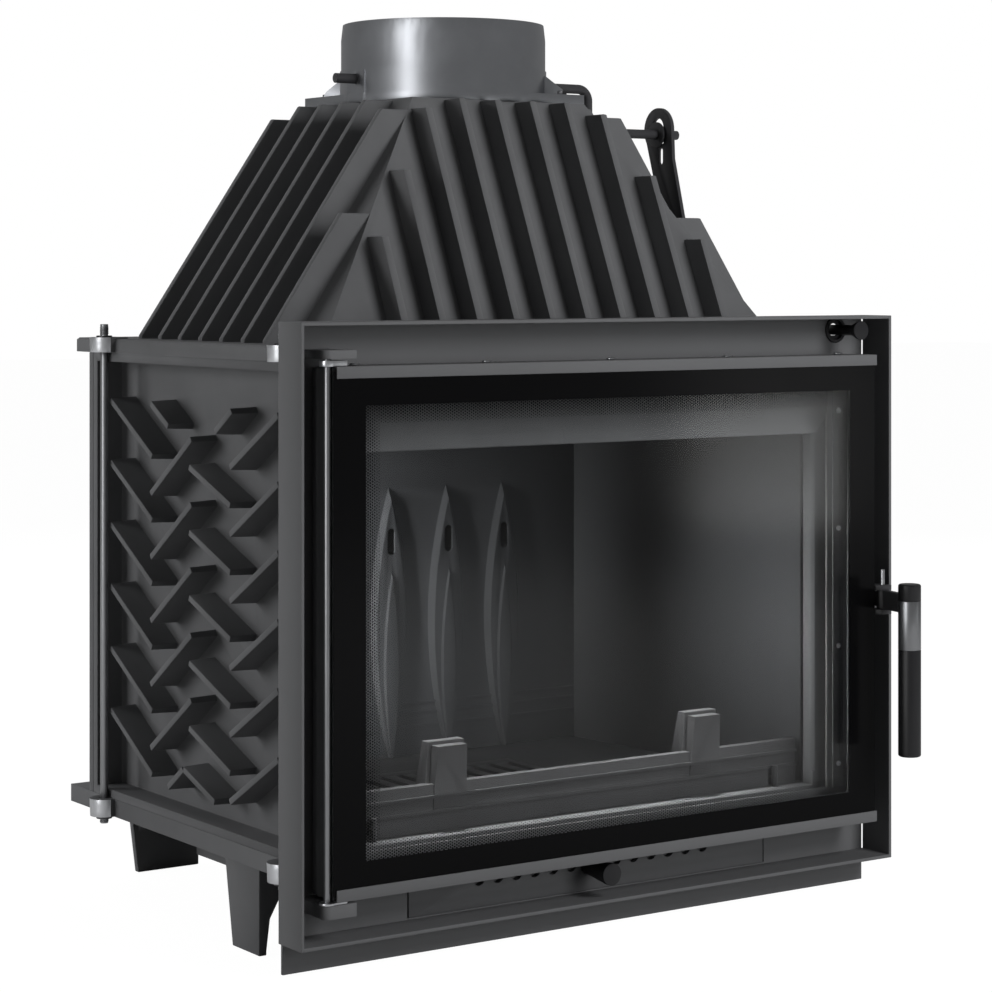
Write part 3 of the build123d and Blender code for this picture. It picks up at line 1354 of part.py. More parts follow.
def pull_knob():
    """A flared black knob on the end of the pull rod."""
    profile = Polygon(
        (0, 0),
        (KNOB_RADIUS, 0),
        (KNOB_RADIUS, KNOB_FACE),
        (KNOB_NECK, KNOB_CONE),
        (KNOB_NECK, KNOB_LENGTH),
        (0, KNOB_LENGTH),
        align=None,
    )
    knob = revolve(Plane.XY * profile, Axis.Y)
    return Pos(ROD_X, 0, ROD_Z) * knob


def pull_rod_guides():
    """Two upright brackets on the hood flange with bores for the pull rod."""
    guides = []
    inner, outer = ROD_X - GUIDE_HALF, ROD_X + GUIDE_TOE
    top = ROD_Z + GUIDE_RISE
    low = FLANGE_TOP
    outline = [(inner, low), (outer, low), (ROD_X + GUIDE_HALF, top), (inner, top)]
    for setback in GUIDE_SETBACKS:
        y = SIDE_FRONT + setback
        post = prism_y(outline, y, y + GUIDE_THICK)
        foot = slab(inner, outer, y, y + GUIDE_FOOT, low, low + 1.5)
        bore = rod_y(ROD_RADIUS + RUN_FIT, y - 1, y + 20, ROD_X, ROD_Z)
        guides.append(post + foot - bore)
    return guides


def main():
    os.makedirs("parts", exist_ok=True)
    right_side = right_side_casting()
    right_leg, right_rear_leg = front_leg(), rear_leg()
    lining = right_lining()
    save("surround_frame", surround_frame())
    save("front_plate", front_plate())
    save("front_casting", front_casting())
    save("base_casting", base_casting())
    save("leg_front_right", right_leg)
    save("leg_front_left", mirrored(right_leg))
    save("leg_rear_right", right_rear_leg)
    save("leg_rear_left", mirrored(right_rear_leg))
    save("right_side_casting", right_side)
    save("left_side_casting", mirrored(right_side))
    save("back_casting", back_casting())
    save("hood_casting", hood_casting())
    save("flue_collar", flue_collar())
    save("collar_bolts", *collar_bolts())
    save("tie_rods", *tie_rods())
    save("tie_rod_washers", *tie_rod_washers())
    save("tie_rod_nuts", *tie_rod_nuts())
    save("hearth_plate", hearth_plate())
    save("grate", grate())
    save("back_lining", back_lining())
    save("right_lining", lining)
    save("left_lining", mirrored(lining))
    save("smoke_baffle", smoke_baffle())
    save("log_guard", log_guard())
    save("ash_box", ash_box())
    save("drawer_front", drawer_front())
    save("ash_tray", ash_tray())
    save("air_slide_plate", air_slide_plate())
    save("air_knob", air_knob())
    save("door_frame", door_frame())
    save("door_glass", door_glass())
    save("door_top_trim", door_top_trim())
    save("door_bottom_trim", door_bottom_trim())
    save("trim_screws", *trim_screws())
    save("glass_retainers", *glass_retainers())
    save("retainer_screws", *retainer_screws())
    save("door_seal", door_seal())
    save("hinge_rod", hinge_rod())
    save("door_ears", *door_ears())
    save("hinge_bracket_top", hinge_bracket(BRACKET_TOP, BRACKET_TOP_HEIGHT, False))
    save("hinge_bracket_bottom", hinge_bracket(BRACKET_LOW, BRACKET_LOW_HEIGHT, True))
    save("handle_bracket", handle_bracket())
    save("handle_pin", handle_pin())
    save("handle_arm", handle_arm())
    save("handle_grip", grip_piece(GRIP_LOW, BAND_LOW, True, False))
    save("handle_band", grip_piece(BAND_LOW, CAP_LOW, False, False))
    save("handle_cap", grip_piece(CAP_LOW, CAP_HIGH, False, True))
    save("door_catch", door_catch())
    save("damper_flap", damper_flap())
    save("flap_screws", *flap_screws())
    save("damper_crank", damper_crank())
    save("damper_washer", damper_washer())
    save("yoke_arm", yoke_arm())
    save("pull_rod", pull_rod())
    save("pull_knob", pull_knob())
    save("pull_rod_guides", *pull_rod_guides())


if __name__ == "__main__":
    main()
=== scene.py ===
"""Dresses the cast iron fireplace insert: finishes, rounded castings, printed glass and fixings."""

import json
import math

import bpy
from mathutils import Euler, Matrix, Vector


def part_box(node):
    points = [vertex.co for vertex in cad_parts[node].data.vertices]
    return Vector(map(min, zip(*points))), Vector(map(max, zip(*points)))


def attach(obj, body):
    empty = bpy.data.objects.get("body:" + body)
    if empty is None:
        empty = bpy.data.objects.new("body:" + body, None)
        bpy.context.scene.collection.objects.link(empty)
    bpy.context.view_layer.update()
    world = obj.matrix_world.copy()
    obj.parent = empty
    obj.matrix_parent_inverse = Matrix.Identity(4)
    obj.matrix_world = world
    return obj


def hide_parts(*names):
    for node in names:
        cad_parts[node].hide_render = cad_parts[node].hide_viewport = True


bl_info = {
    "name": "Cast iron fireplace insert",
    "version": (1, 1, 0),
    "blender": (4, 5, 0),
    "location": "View3D > Sidebar > Insert",
    "description": "Builds the finishes and fine pieces of a fireplace insert round its frame",
    "category": "Object",
}

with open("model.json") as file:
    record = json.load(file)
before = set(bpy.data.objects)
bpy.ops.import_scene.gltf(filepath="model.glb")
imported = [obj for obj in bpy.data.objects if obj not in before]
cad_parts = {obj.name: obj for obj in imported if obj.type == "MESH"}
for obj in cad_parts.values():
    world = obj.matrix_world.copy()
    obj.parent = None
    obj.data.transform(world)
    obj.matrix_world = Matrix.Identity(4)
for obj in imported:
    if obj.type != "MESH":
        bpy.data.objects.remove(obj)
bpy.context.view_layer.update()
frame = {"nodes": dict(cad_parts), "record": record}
NODES = frame["nodes"]
BODIES = frame["record"]["behaviour"]["bodies"]

# The camera that the photograph was taken with, in metres and degrees
CAMERA_PLACE = (-1.4522, -2.1443, 0.5875)
CAMERA_TURN = -34.256
CAMERA_LENS = 98.336
CAMERA_SHIFT = -0.2240
CAMERA_SENSOR = 36.0
CAMERA_CLIP = (0.01, 60.0)

# Points nearer than this are one, in metres, and faces flatter than this are one, in degrees
MERGE_GAP = 0.00002
FLAT_ANGLE = 1.0
# Edges sharper than these stay crisp in shading, are rounded on a node and on a turned piece
SMOOTH_ANGLE = 35.0
EDGE_ANGLE = 35.0
METAL_EDGE_ANGLE = 40.0
TURNED_EDGE_ANGLE = 60.0


def body_of_node(node):
    """Name of the moving body that a node belongs to."""
    for body, names in BODIES.items():
        if node in names:
            return body
    raise ValueError("no body holds " + node)


def only(piece):
    """Select one object and make it the active one."""
    bpy.ops.object.select_all(action="DESELECT")
    piece.select_set(True)
    bpy.context.view_layer.objects.active = piece


def place_in_mesh(piece):
    """Move an object's place, turn and size into its mesh."""
    only(piece)
    bpy.ops.object.transform_apply(location=True, rotation=True, scale=True)


def joined(pieces, name):
    """One object out of several."""
    bpy.ops.object.select_all(action="DESELECT")
    for piece in pieces:
        piece.select_set(True)
    bpy.context.view_layer.objects.active = pieces[0]
    bpy.ops.object.join()
    whole = bpy.context.object
    whole.name = name
    return whole


def copy_at(piece, shift):
    """A copy of a finished piece with its own mesh, moved by a distance."""
    mesh = piece.data.copy()
    for vertex in mesh.vertices:
        vertex.co += Vector(shift)
    double = bpy.data.objects.new(piece.name + "_copy", mesh)
    bpy.context.scene.collection.objects.link(double)
    return double


def finish_piece(piece, body, material, replaces=()):
    """Give a new piece its material and body, and hide the nodes it replaces."""
    piece.data.materials.clear()
    piece.data.materials.append(material)
    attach(piece, body)
    if replaces:
        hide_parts(*replaces)
    return piece


def paint(node, material):
    """Give a kept node its material."""
    piece = NODES[node]
    piece.data.materials.clear()
    piece.data.materials.append(material)


def apply_bevel(piece, width, segments, angle):
    """Round the edges that are sharper than an angle."""
    only(piece)
    bevel = piece.modifiers.new("edges", "BEVEL")
    bevel.width = width
    bevel.segments = segments
    bevel.limit_method = "ANGLE"
    bevel.angle_limit = math.radians(angle)
    bevel.use_clamp_overlap = True
    bpy.ops.object.modifier_apply(modifier=bevel.name)


def rounded_copy(node, radius, segments=2, angle=EDGE_ANGLE, smooth=SMOOTH_ANGLE):
    """A copy of a node with its sharp edges rounded over."""
    mesh = NODES[node].data.copy()
    mesh.name = node + "_rounded"
    piece = bpy.data.objects.new(node + "_rounded", mesh)
    bpy.context.scene.collection.objects.link(piece)
    only(piece)
    bpy.ops.object.mode_set(mode="EDIT")
    bpy.ops.mesh.select_all(action="SELECT")
    bpy.ops.mesh.remove_doubles(threshold=MERGE_GAP)
    bpy.ops.mesh.dissolve_limited(angle_limit=math.radians(FLAT_ANGLE))
    bpy.ops.object.mode_set(mode="OBJECT")
    apply_bevel(piece, radius, segments, angle)
    bpy.ops.object.shade_smooth_by_angle(angle=math.radians(smooth))
    return piece


def new_material(name):
    """An empty node material with its shader."""
    material = bpy.data.materials.new(name)
    material.use_nodes = True
    return material, material.node_tree, material.node_tree.nodes["Principled BSDF"]


def add_node(tree, kind, **values):
    """A node with some of its inputs set."""
    node = tree.nodes.new(kind)
    for key, value in values.items():
        node.inputs[key.replace("_", " ")].default_value = value
    return node


def sum_node(tree, operation, first, second=None):
    """One step of arithmetic between sockets or numbers."""
    node = tree.nodes.new("ShaderNodeMath")
    node.operation = operation
    for place, value in enumerate((first, second)):
        if value is None:
            continue
        if isinstance(value, (int, float)):
            node.inputs[place].default_value = value
        else:
            tree.links.new(value, node.inputs[place])
    return node.outputs["Value"]


def noise(tree, scale, detail=4.0, stretch=None):
    """A noise over the piece, stretched along an axis when asked."""
    place = tree.nodes.new("ShaderNodeTexCoord")
    field = add_node(tree, "ShaderNodeTexNoise", Scale=scale, Detail=detail, Roughness=0.6)
    source = place.outputs["Object"]
    if stretch:
        mapping = tree.nodes.new("ShaderNodeMapping")
        mapping.inputs["Scale"].default_value = stretch
        tree.links.new(source, mapping.inputs["Vector"])
        source = mapping.outputs["Vector"]
    tree.links.new(source, field.inputs["Vector"])
    return field.outputs["Fac"]


def mottle(tree, shader, factor, colour, spread):
    """Base colour that wanders a little round its middle."""
    ramp = tree.nodes.new("ShaderNodeValToRGB")
    ramp.color_ramp.elements[0].position = 0.3
    ramp.color_ramp.elements[1].position = 0.7
    ramp.color_ramp.elements[0].color = [c * (1 - spread) for c in colour] + [1]
    ramp.color_ramp.elements[1].color = [c * (1 + spread) for c in colour] + [1]
    tree.links.new(factor, ramp.inputs["Fac"])
    tree.links.new(ramp.outputs["Color"], shader.inputs["Base Color"])


def uneven_gloss(tree, shader, factor, rough, spread):
    """Roughness that follows a noise."""
    gloss = add_node(tree, "ShaderNodeMapRange", To_Min=rough - spread, To_Max=rough + spread)
    tree.links.new(factor, gloss.inputs["Value"])
    tree.links.new(gloss.outputs["Result"], shader.inputs["Roughness"])


def relief(tree, shader, layers):
    """Bump from one or more height fields: field, strength and depth of each."""
    below = None
    for height, strength, depth in layers:
        lift = add_node(tree, "ShaderNodeBump", Strength=strength, Distance=depth)
        tree.links.new(height, lift.inputs["Height"])
        if below:
            tree.links.new(below, lift.inputs["Normal"])
        below = lift.outputs["Normal"]
    tree.links.new(below, shader.inputs["Normal"])


def cast_iron(name, colour, rough, sand):
    """Sand-cast iron under thin stove paint: fine grit and faint broad waves."""
    material, tree, shader = new_material(name)
    broad = noise(tree, 16.0)
    mottle(tree, shader, broad, colour, 0.08)
    uneven_gloss(tree, shader, broad, rough, 0.05)
    grit = noise(tree, 1100.0, 2.0)
    relief(tree, shader, [(broad, 0.05, 0.002), (grit, sand, 0.0003)])
    shader.inputs["Specular IOR Level"].default_value = 0.2
    return material


def lining_board(name, colour):
    """Pressed fireproof board: pale flecks and soft pits in a dull dark face."""
    material, tree, shader = new_material(name)
    broad = noise(tree, 9.0)
    mottle(tree, shader, broad, colour, 0.1)
    uneven_gloss(tree, shader, broad, 0.8, 0.06)
    flake = noise(tree, 900.0, 2.0)
    relief(tree, shader, [(flake, 0.03, 0.0003)])
    shader.inputs["Specular IOR Level"].default_value = 0.25
    return material


def sheet_paint(name, colour, rough, shine=0.25):
    """Sheet steel with sprayed heat-proof paint: a very fine even peel."""
    material, tree, shader = new_material(name)
    broad = noise(tree, 7.0)
    mottle(tree, shader, broad, colour, 0.04)
    uneven_gloss(tree, shader, broad, rough, 0.04)
    peel = noise(tree, 1600.0, 2.0)
    relief(tree, shader, [(peel, 0.08, 0.0002)])
    shader.inputs["Specular IOR Level"].default_value = shine
    return material


def bright_steel(name, colour, rough, stretch=(1.0, 1.0, 1.0)):
    """Ground or plated steel with fine drawn scratches."""
    material, tree, shader = new_material(name)
    shader.inputs["Metallic"].default_value = 1.0
    broad = noise(tree, 30.0)
    mottle(tree, shader, broad, colour, 0.05)
    uneven_gloss(tree, shader, broad, rough, 0.04)
    scratch = noise(tree, 900.0, 3.0, stretch)
    relief(tree, shader, [(scratch, 0.03, 0.0001)])
    return material


def rope_weave(name, colour):
    """Braided rope of dark glass yarn."""
    material, tree, shader = new_material(name)
    strands = noise(tree, 300.0)
    mottle(tree, shader, strands, colour, 0.3)
    uneven_gloss(tree, shader, strands, 0.9, 0.05)
    place = tree.nodes.new("ShaderNodeTexCoord")
    cells = add_node(tree, "ShaderNodeTexVoronoi", Scale=420.0)
    tree.links.new(place.outputs["Object"], cells.inputs["Vector"])
    relief(tree, shader, [(cells.outputs["Distance"], 0.8, 0.001)])
    return material


def dot_distance(tree, across, up, pitch, phase):
    """Distance to the nearest dot of one square half of a staggered dot grid."""
    wide = pitch * math.sqrt(3.0)
    near = []
    for value, step in ((across, wide), (up, pitch)):
        cell = sum_node(tree, "ADD", sum_node(tree, "MULTIPLY", value, 1.0 / step), phase)
        off = sum_node(tree, "SUBTRACT", sum_node(tree, "FRACT", cell), 0.5)
        length = sum_node(tree, "MULTIPLY", off, step)
        near.append(sum_node(tree, "MULTIPLY", length, length))
    return sum_node(tree, "SQRT", sum_node(tree, "ADD", near[0], near[1]))


# Colour and gloss of the black print, tint and gloss of the clear pane
PRINT_COLOUR = (0.002, 0.002, 0.0022, 1)
PRINT_SPECULAR = 0.06
PRINT_ROUGH = 0.16
PANE_TINT = (0.93, 0.935, 0.935, 1)
PANE_ROUGH = 0.1
PANE_INDEX = 1.22


def printed_glass(name, window, fade, pitch, dots, front):
    """Clear glass with a black border printed on its face that breaks up into dots."""
    material, tree, shader = new_material(name)
    links = tree.links
    half, low, high = window
    place = tree.nodes.new("ShaderNodeTexCoord")
    split = tree.nodes.new("ShaderNodeSeparateXYZ")
    links.new(place.outputs["Object"], split.inputs["Vector"])
    across, up = split.outputs["X"], split.outputs["Z"]
    side = sum_node(tree, "SUBTRACT", half, sum_node(tree, "ABSOLUTE", across))
    foot = sum_node(tree, "SUBTRACT", up, low)
    head = sum_node(tree, "SUBTRACT", high, up)
    inside = sum_node(tree, "MINIMUM", sum_node(tree, "MINIMUM", side, foot), head)
    share = sum_node(tree, "DIVIDE", inside, fade)
    even = dot_distance(tree, across, up, pitch, 0.0)
    odd = dot_distance(tree, across, up, pitch, 0.5)
    reach = sum_node(tree, "MINIMUM", even, odd)
    large, small = dots
    radius = sum_node(tree, "ADD", sum_node(tree, "MULTIPLY", share, small - large), large)
    spot = sum_node(tree, "LESS_THAN", reach, radius)
    spot = sum_node(tree, "MULTIPLY", spot, sum_node(tree, "LESS_THAN", share, 1.0))
    border = sum_node(tree, "LESS_THAN", inside, 0.0)
    face = sum_node(tree, "LESS_THAN", split.outputs["Y"], front)
    print_mask = sum_node(tree, "MULTIPLY", sum_node(tree, "MAXIMUM", spot, border), face)
    shader.inputs["Base Color"].default_value = PRINT_COLOUR
    shader.inputs["Specular IOR Level"].default_value = PRINT_SPECULAR
    uneven_gloss(tree, shader, noise(tree, 20.0), PRINT_ROUGH, 0.02)
    pane = add_node(tree, "ShaderNodeBsdfGlossy", Roughness=PANE_ROUGH, Color=(1, 1, 1, 1))
    through = add_node(tree, "ShaderNodeBsdfTransparent", Color=PANE_TINT)
    fresnel = add_node(tree, "ShaderNodeFresnel", IOR=PANE_INDEX)
    glass = tree.nodes.new("ShaderNodeMixShader")
    links.new(fresnel.outputs["Fac"], glass.inputs["Fac"])
    links.new(through.outputs["BSDF"], glass.inputs[1])
    links.new(pane.outputs["BSDF"], glass.inputs[2])
    mixed = tree.nodes.new("ShaderNodeMixShader")
    links.new(print_mask, mixed.inputs["Fac"])
    links.new(glass.outputs["Shader"], mixed.inputs[1])
    links.new(shader.outputs["BSDF"], mixed.inputs[2])
    links.new(mixed.outputs["Shader"], tree.nodes["Material Output"].inputs["Surface"])
    return material


FINISHES = {}

# Half the width of the clear window, its foot and its head, then the width of the band that
# the dots fade over, their pitch, and their radius at its outer and its inner edge
WINDOW = (0.2686, 0.097, 0.4774)
DOT_FADE = 0.015
DOT_PITCH = 0.0025
DOT_RADII = (0.00095, 0.00045)
# How far behind the pane's front face the print still shows
PRINT_DEPTH = 0.001


def finish(name):
    """A finish by its plain name, made once."""
    if name in FINISHES:
        return FINISHES[name]
    tint = bpy.context.scene.insert_colours
    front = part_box("door_glass")[0][1] + PRINT_DEPTH
    makers = {
        "iron": lambda: cast_iron("stove_iron", tint.iron, 0.66, 0.16),
        "hood_iron": lambda: cast_iron("hood_iron", tint.iron, 0.6, 0.12),
        # Iron inside the firebox: the stove iron darkened as painted shade for the dark firebox
        "shaded_firebox": lambda: cast_iron("firebox_iron_painted_shade", tint.shaded_firebox, 0.6, 0.14),
        "lining": lambda: lining_board("lining_board", tint.lining),
        "paint": lambda: sheet_paint("frame_paint", tint.paint, 0.62),
        "black": lambda: sheet_paint("linkage_paint", tint.linkage, 0.5, 0.3),
        "bakelite": lambda: sheet_paint("black_bakelite", tint.black, 0.42, 0.35),
        "collar": lambda: bright_steel("collar_silver", tint.collar, 0.36, (0.2, 0.2, 1.0)),
        "plated": lambda: bright_steel("plated_steel", tint.plated, 0.3),
        "rod": lambda: bright_steel("rod_steel", tint.rod, 0.4),
        "dark_steel": lambda: bright_steel("dark_steel", tint.dark_steel, 0.42),
        "machined": lambda: bright_steel("machined_iron", tint.machined, 0.42, (0.2, 0.2, 1.0)),
        "satin": lambda: bright_steel("satin_silver", tint.satin, 0.34, (1.0, 1.0, 0.2)),
        "rope": lambda: rope_weave("rope_yarn", tint.rope),
        "glass": lambda: printed_glass(
            "printed_glass", WINDOW, DOT_FADE, DOT_PITCH, DOT_RADII, front
        ),
    }
    FINISHES[name] = makers[name]()
    return FINISHES[name]


def colour_property(name, description, default):
    """A colour setting with the usual limits."""
    return bpy.props.FloatVectorProperty(
        name=name,
        description=description,
        subtype="COLOR",
        size=3,
        min=0.0,
        max=1.0,
        default=default,
    )


def length_property(name, description, default):
    """A length setting in metres."""
    return bpy.props.FloatProperty(
        name=name,
        description=description,
        subtype="DISTANCE",
        unit="LENGTH",
        min=0.0,
        default=default,
    )


class InsertColours(bpy.types.PropertyGroup):
    """Colours of the finishes."""

    iron: colour_property("Iron", "Stove paint on the castings", (0.082, 0.083, 0.086))
    # Iron inside the firebox is painted darker, as painted shade standing in for the shade behind
    # the glass
    shaded_firebox: colour_property("Firebox iron, painted shade", "Iron inside the firebox", (0.036, 0.036, 0.0375))
    # The lining's dark colour is partly its own and partly painted shade for the dark firebox
    lining: colour_property("Lining", "Firebox lining", (0.027, 0.028, 0.03))
    paint: colour_property("Frame paint", "Satin paint on the sheet steel", (0.084, 0.085, 0.088))
    black: colour_property("Black", "Knobs, grip and cap", (0.008, 0.008, 0.009))
    linkage: colour_property("Linkage", "Damper arms and their rod", (0.028, 0.028, 0.03))
    collar: colour_property("Collar", "Silver paint on the flue collar", (0.34, 0.35, 0.37))
    plated: colour_property("Plated steel", "Screws and pins", (0.55, 0.56, 0.58))
    rod: colour_property("Rod steel", "Hinge rod and tie rods", (0.3, 0.305, 0.315))
    satin: colour_property("Satin silver", "Band on the door handle", (0.26, 0.265, 0.275))
    dark_steel: colour_property("Dark steel", "Bolts, washers and nuts", (0.09, 0.09, 0.094))
    machined: colour_property("Machined iron", "Turned faces of the rod ears", (0.56, 0.57, 0.59))
    rope: colour_property("Rope", "Seal behind the glass", (0.03, 0.03, 0.03))


class InsertSizes(bpy.types.PropertyGroup):
    """Radii and other sizes of the fine pieces."""

    cast_edge: length_property("Cast edge", "Rounding of the cast edges", 0.0009)
    sheet_edge: length_property("Sheet edge", "Rounding of the folded sheet", 0.0004)
    rope_round: length_property("Rope rounding", "Rounding of the rope seal", 0.0026)
    screw_radius: length_property("Trim screw", "Radius of the trim screw heads", 0.004)
    screw_height: length_property("Trim screw height", "Height of the trim screw heads", 0.002)
    stud_radius: length_property("Retainer screw", "Radius of the retainer screw heads", 0.0025)
    stud_height: length_property("Retainer screw height", "Height of those heads", 0.0016)
    bushing_radius: length_property("Bushing", "Radius of the pull rod bushing", 0.0125)
    bushing_barrel: length_property("Bushing barrel", "Radius inside the plate's hole", 0.0109)
    bushing_mouth: length_property("Bushing mouth", "Radius that takes the knob", 0.0097)
    bushing_bore: length_property("Bushing bore", "Radius round the knob's neck", 0.0061)
    bushing_wall: length_property("Bushing wall", "Thickness of its back wall", 0.0008)
    bushing_flange: length_property("Bushing flange", "Thickness of its flange", 0.0018)
    thread_pitch: length_property("Thread pitch", "Pitch of the tie rod threads", 0.00125)


CASTINGS = (
    "base_casting",
    "leg_front_left",
    "leg_front_right",
    "leg_rear_left",
    "leg_rear_right",
    "left_side_casting",
    "right_side_casting",
    "back_casting",
    "front_casting",
)
# Pieces inside the firebox, whose iron is painted darker as painted shade
SHADED_FIREBOX_PARTS = ("log_guard", "hearth_plate", "grate", "smoke_baffle")
LININGS = ("back_lining", "left_lining", "right_lining")
SHEETS = (
    "surround_frame",
    "front_plate",
    "ash_box",
    "door_top_trim",
    "door_bottom_trim",
    "door_frame",
    "drawer_front",
    "ash_tray",
    "air_slide_plate",
    "hinge_bracket_top",
    "hinge_bracket_bottom",
    "glass_retainers",
    "door_catch",
)
BLACKS = (
    "handle_arm",
    "handle_bracket",
    "damper_crank",
    "yoke_arm",
    "pull_rod",
    "pull_rod_guides",
    "damper_washer",
    "damper_flap",
)
MOULDED = ("air_knob", "pull_knob", "handle_grip", "handle_cap")
PLATED = ("door_ears", "handle_pin")
RODS = ("tie_rods", "hinge_rod")
DARK_STEEL = ("collar_bolts", "tie_rod_washers", "tie_rod_nuts", "flap_screws")

# Where the tie rods stand, from the box of all four
ROD_LOW, ROD_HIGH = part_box("tie_rods")
ROD_RADIUS = 0.00375
# The rod ears: their radius, how far a turned face may lie from it, how far inwards it may
# reach, and the steepest normal that still counts as upright
LUG_RADIUS = 0.0138
LUG_BAND = 0.0016
LUG_REACH = 0.002
LUG_UPRIGHT = 0.5
ROD_PLACES = [
    (x, y)
    for x in (ROD_LOW[0] + ROD_RADIUS, ROD_HIGH[0] - ROD_RADIUS)
    for y in (ROD_LOW[1] + ROD_RADIUS, ROD_HIGH[1] - ROD_RADIUS)
]


def machine_lugs(piece):
    """Give the turned sides of the rod ears their bare metal."""
    piece.data.materials.append(finish("machined"))
    for face in piece.data.polygons:
        if abs(face.normal.z) > LUG_UPRIGHT:
            continue
        for x, y in ROD_PLACES:
            away = math.hypot(face.center.x - x, face.center.y - y)
            outward = (face.center.x - x) * x >= -LUG_REACH * abs(x)
            if abs(away - LUG_RADIUS) < LUG_BAND and outward:
                face.material_index = 1


class INSERT_OT_castings(bpy.types.Operator):
    """Castings with rounded edges and turned rod ears"""

    bl_idname = "insert.castings"
    bl_label = "Castings"

    def execute(self, context):
        edge = context.scene.insert_sizes.cast_edge
        for node in CASTINGS:
            piece = rounded_copy(node, edge)
            finish_piece(piece, body_of_node(node), finish("iron"), (node,))
            if node == "base_casting":
                machine_lugs(piece)
        # The firebox pieces get iron darkened as painted shade
        for node in SHADED_FIREBOX_PARTS:
            piece = rounded_copy(node, edge)
            finish_piece(piece, "stove", finish("shaded_firebox"), (node,))
        hood = rounded_copy("hood_casting", edge)
        finish_piece(hood, "stove", finish("hood_iron"), ("hood_casting",))
        machine_lugs(hood)
        for node in LININGS:
            piece = rounded_copy(node, edge)
            finish_piece(piece, "stove", finish("lining"), (node,))
        return {"FINISHED"}


class INSERT_OT_sheets(bpy.types.Operator):
    """Painted sheet steel"""

    bl_idname = "insert.sheets"
    bl_label = "Sheet steel"

    def execute(self, context):
        edge = context.scene.insert_sizes.sheet_edge
        for node in SHEETS:
            piece = rounded_copy(node, edge)
            finish_piece(piece, body_of_node(node), finish("paint"), (node,))
        return {"FINISHED"}


class INSERT_OT_metalwork(bpy.types.Operator):
    """Black, moulded, plated and dark metal pieces"""

    bl_idname = "insert.metalwork"
    bl_label = "Metalwork"

    def execute(self, context):
        edge = context.scene.insert_sizes.sheet_edge
        groups = (
            (BLACKS, "black", "black_metal"),
            (MOULDED, "bakelite", "black_metal"),
            (PLATED, "plated", "plated_steel"),
            (RODS, "rod", "plated_steel"),
            (DARK_STEEL, "dark_steel", "plated_steel"),
            (("handle_band",), "satin", "plated_steel"),
            (("flue_collar",), "collar", "collar_steel"),
        )
        for nodes, material, slot in groups:
            for node in nodes:
                piece = rounded_copy(node, edge, angle=METAL_EDGE_ANGLE)
                finish_piece(piece, body_of_node(node), finish(material), (node,))
        return {"FINISHED"}


# Sides of the turned pieces, and the screws along a trim and up a retainer
HEAD_SIDES = 32
SOCKET_SIDES = 6
BAR_SIDES = 48
TRIM_SCREWS = 5
RETAINER_SCREWS = 4
# Shares of a head's height and radius: its shoulder, its socket's middle and its socket's reach
HEAD_SHOULDER = 0.6
SOCKET_MIDDLE = 0.9
SOCKET_REACH = 0.5
# Shoulder of the bushing's flange as a share of its thickness, and the overlap of its two parts
FLANGE_SHOULDER = 0.3
BARREL_OVERLAP = 0.0001
# The thread: its steps a turn, its start as a share of the pitch and its point gap
THREAD_STEPS = 20
THREAD_START = 0.6
THREAD_GAP = 0.00001


def combine(piece, other, operation):
    """Cut a closed shape out of another, or add it, and use it up."""
    only(piece)
    change = piece.modifiers.new("change", "BOOLEAN")
    change.operation = operation
    change.solver = "EXACT"
    change.object = other
    bpy.ops.object.modifier_apply(modifier=change.name)
    only(other)
    bpy.ops.object.delete()
    only(piece)


def cut_with(piece, cutter):
    """Take one closed shape out of another."""
    combine(piece, cutter, "DIFFERENCE")


def join_with(piece, other):
    """Melt one closed shape into another."""
    combine(piece, other, "UNION")


def socket_head(radius, height):
    """A round-shouldered screw head with a hexagon socket, standing on the origin."""
    bpy.ops.object.select_all(action="DESELECT")
    bpy.ops.mesh.primitive_cylinder_add(
        vertices=HEAD_SIDES, radius=radius, depth=height, location=(0, 0, height / 2)
    )
    head = bpy.context.object
    place_in_mesh(head)
    apply_bevel(head, height * HEAD_SHOULDER, 4, TURNED_EDGE_ANGLE)
    bpy.ops.object.select_all(action="DESELECT")
    bpy.ops.mesh.primitive_cylinder_add(
        vertices=SOCKET_SIDES,
        radius=radius * SOCKET_REACH,
        depth=height,
        location=(0, 0, height * SOCKET_MIDDLE),
    )
    cutter = bpy.context.object
    place_in_mesh(cutter)
    cut_with(head, cutter)
    bpy.ops.object.shade_smooth_by_angle(angle=math.radians(SMOOTH_ANGLE))
    return head


def turned_copy(piece, place, turn):
    """A copy of a finished piece with its own mesh, turned about the origin and moved."""
    double = copy_at(piece, (0, 0, 0))
    double.data.transform(Euler(turn).to_matrix().to_4x4())
    double.data.transform(Matrix.Translation(place))
    return double


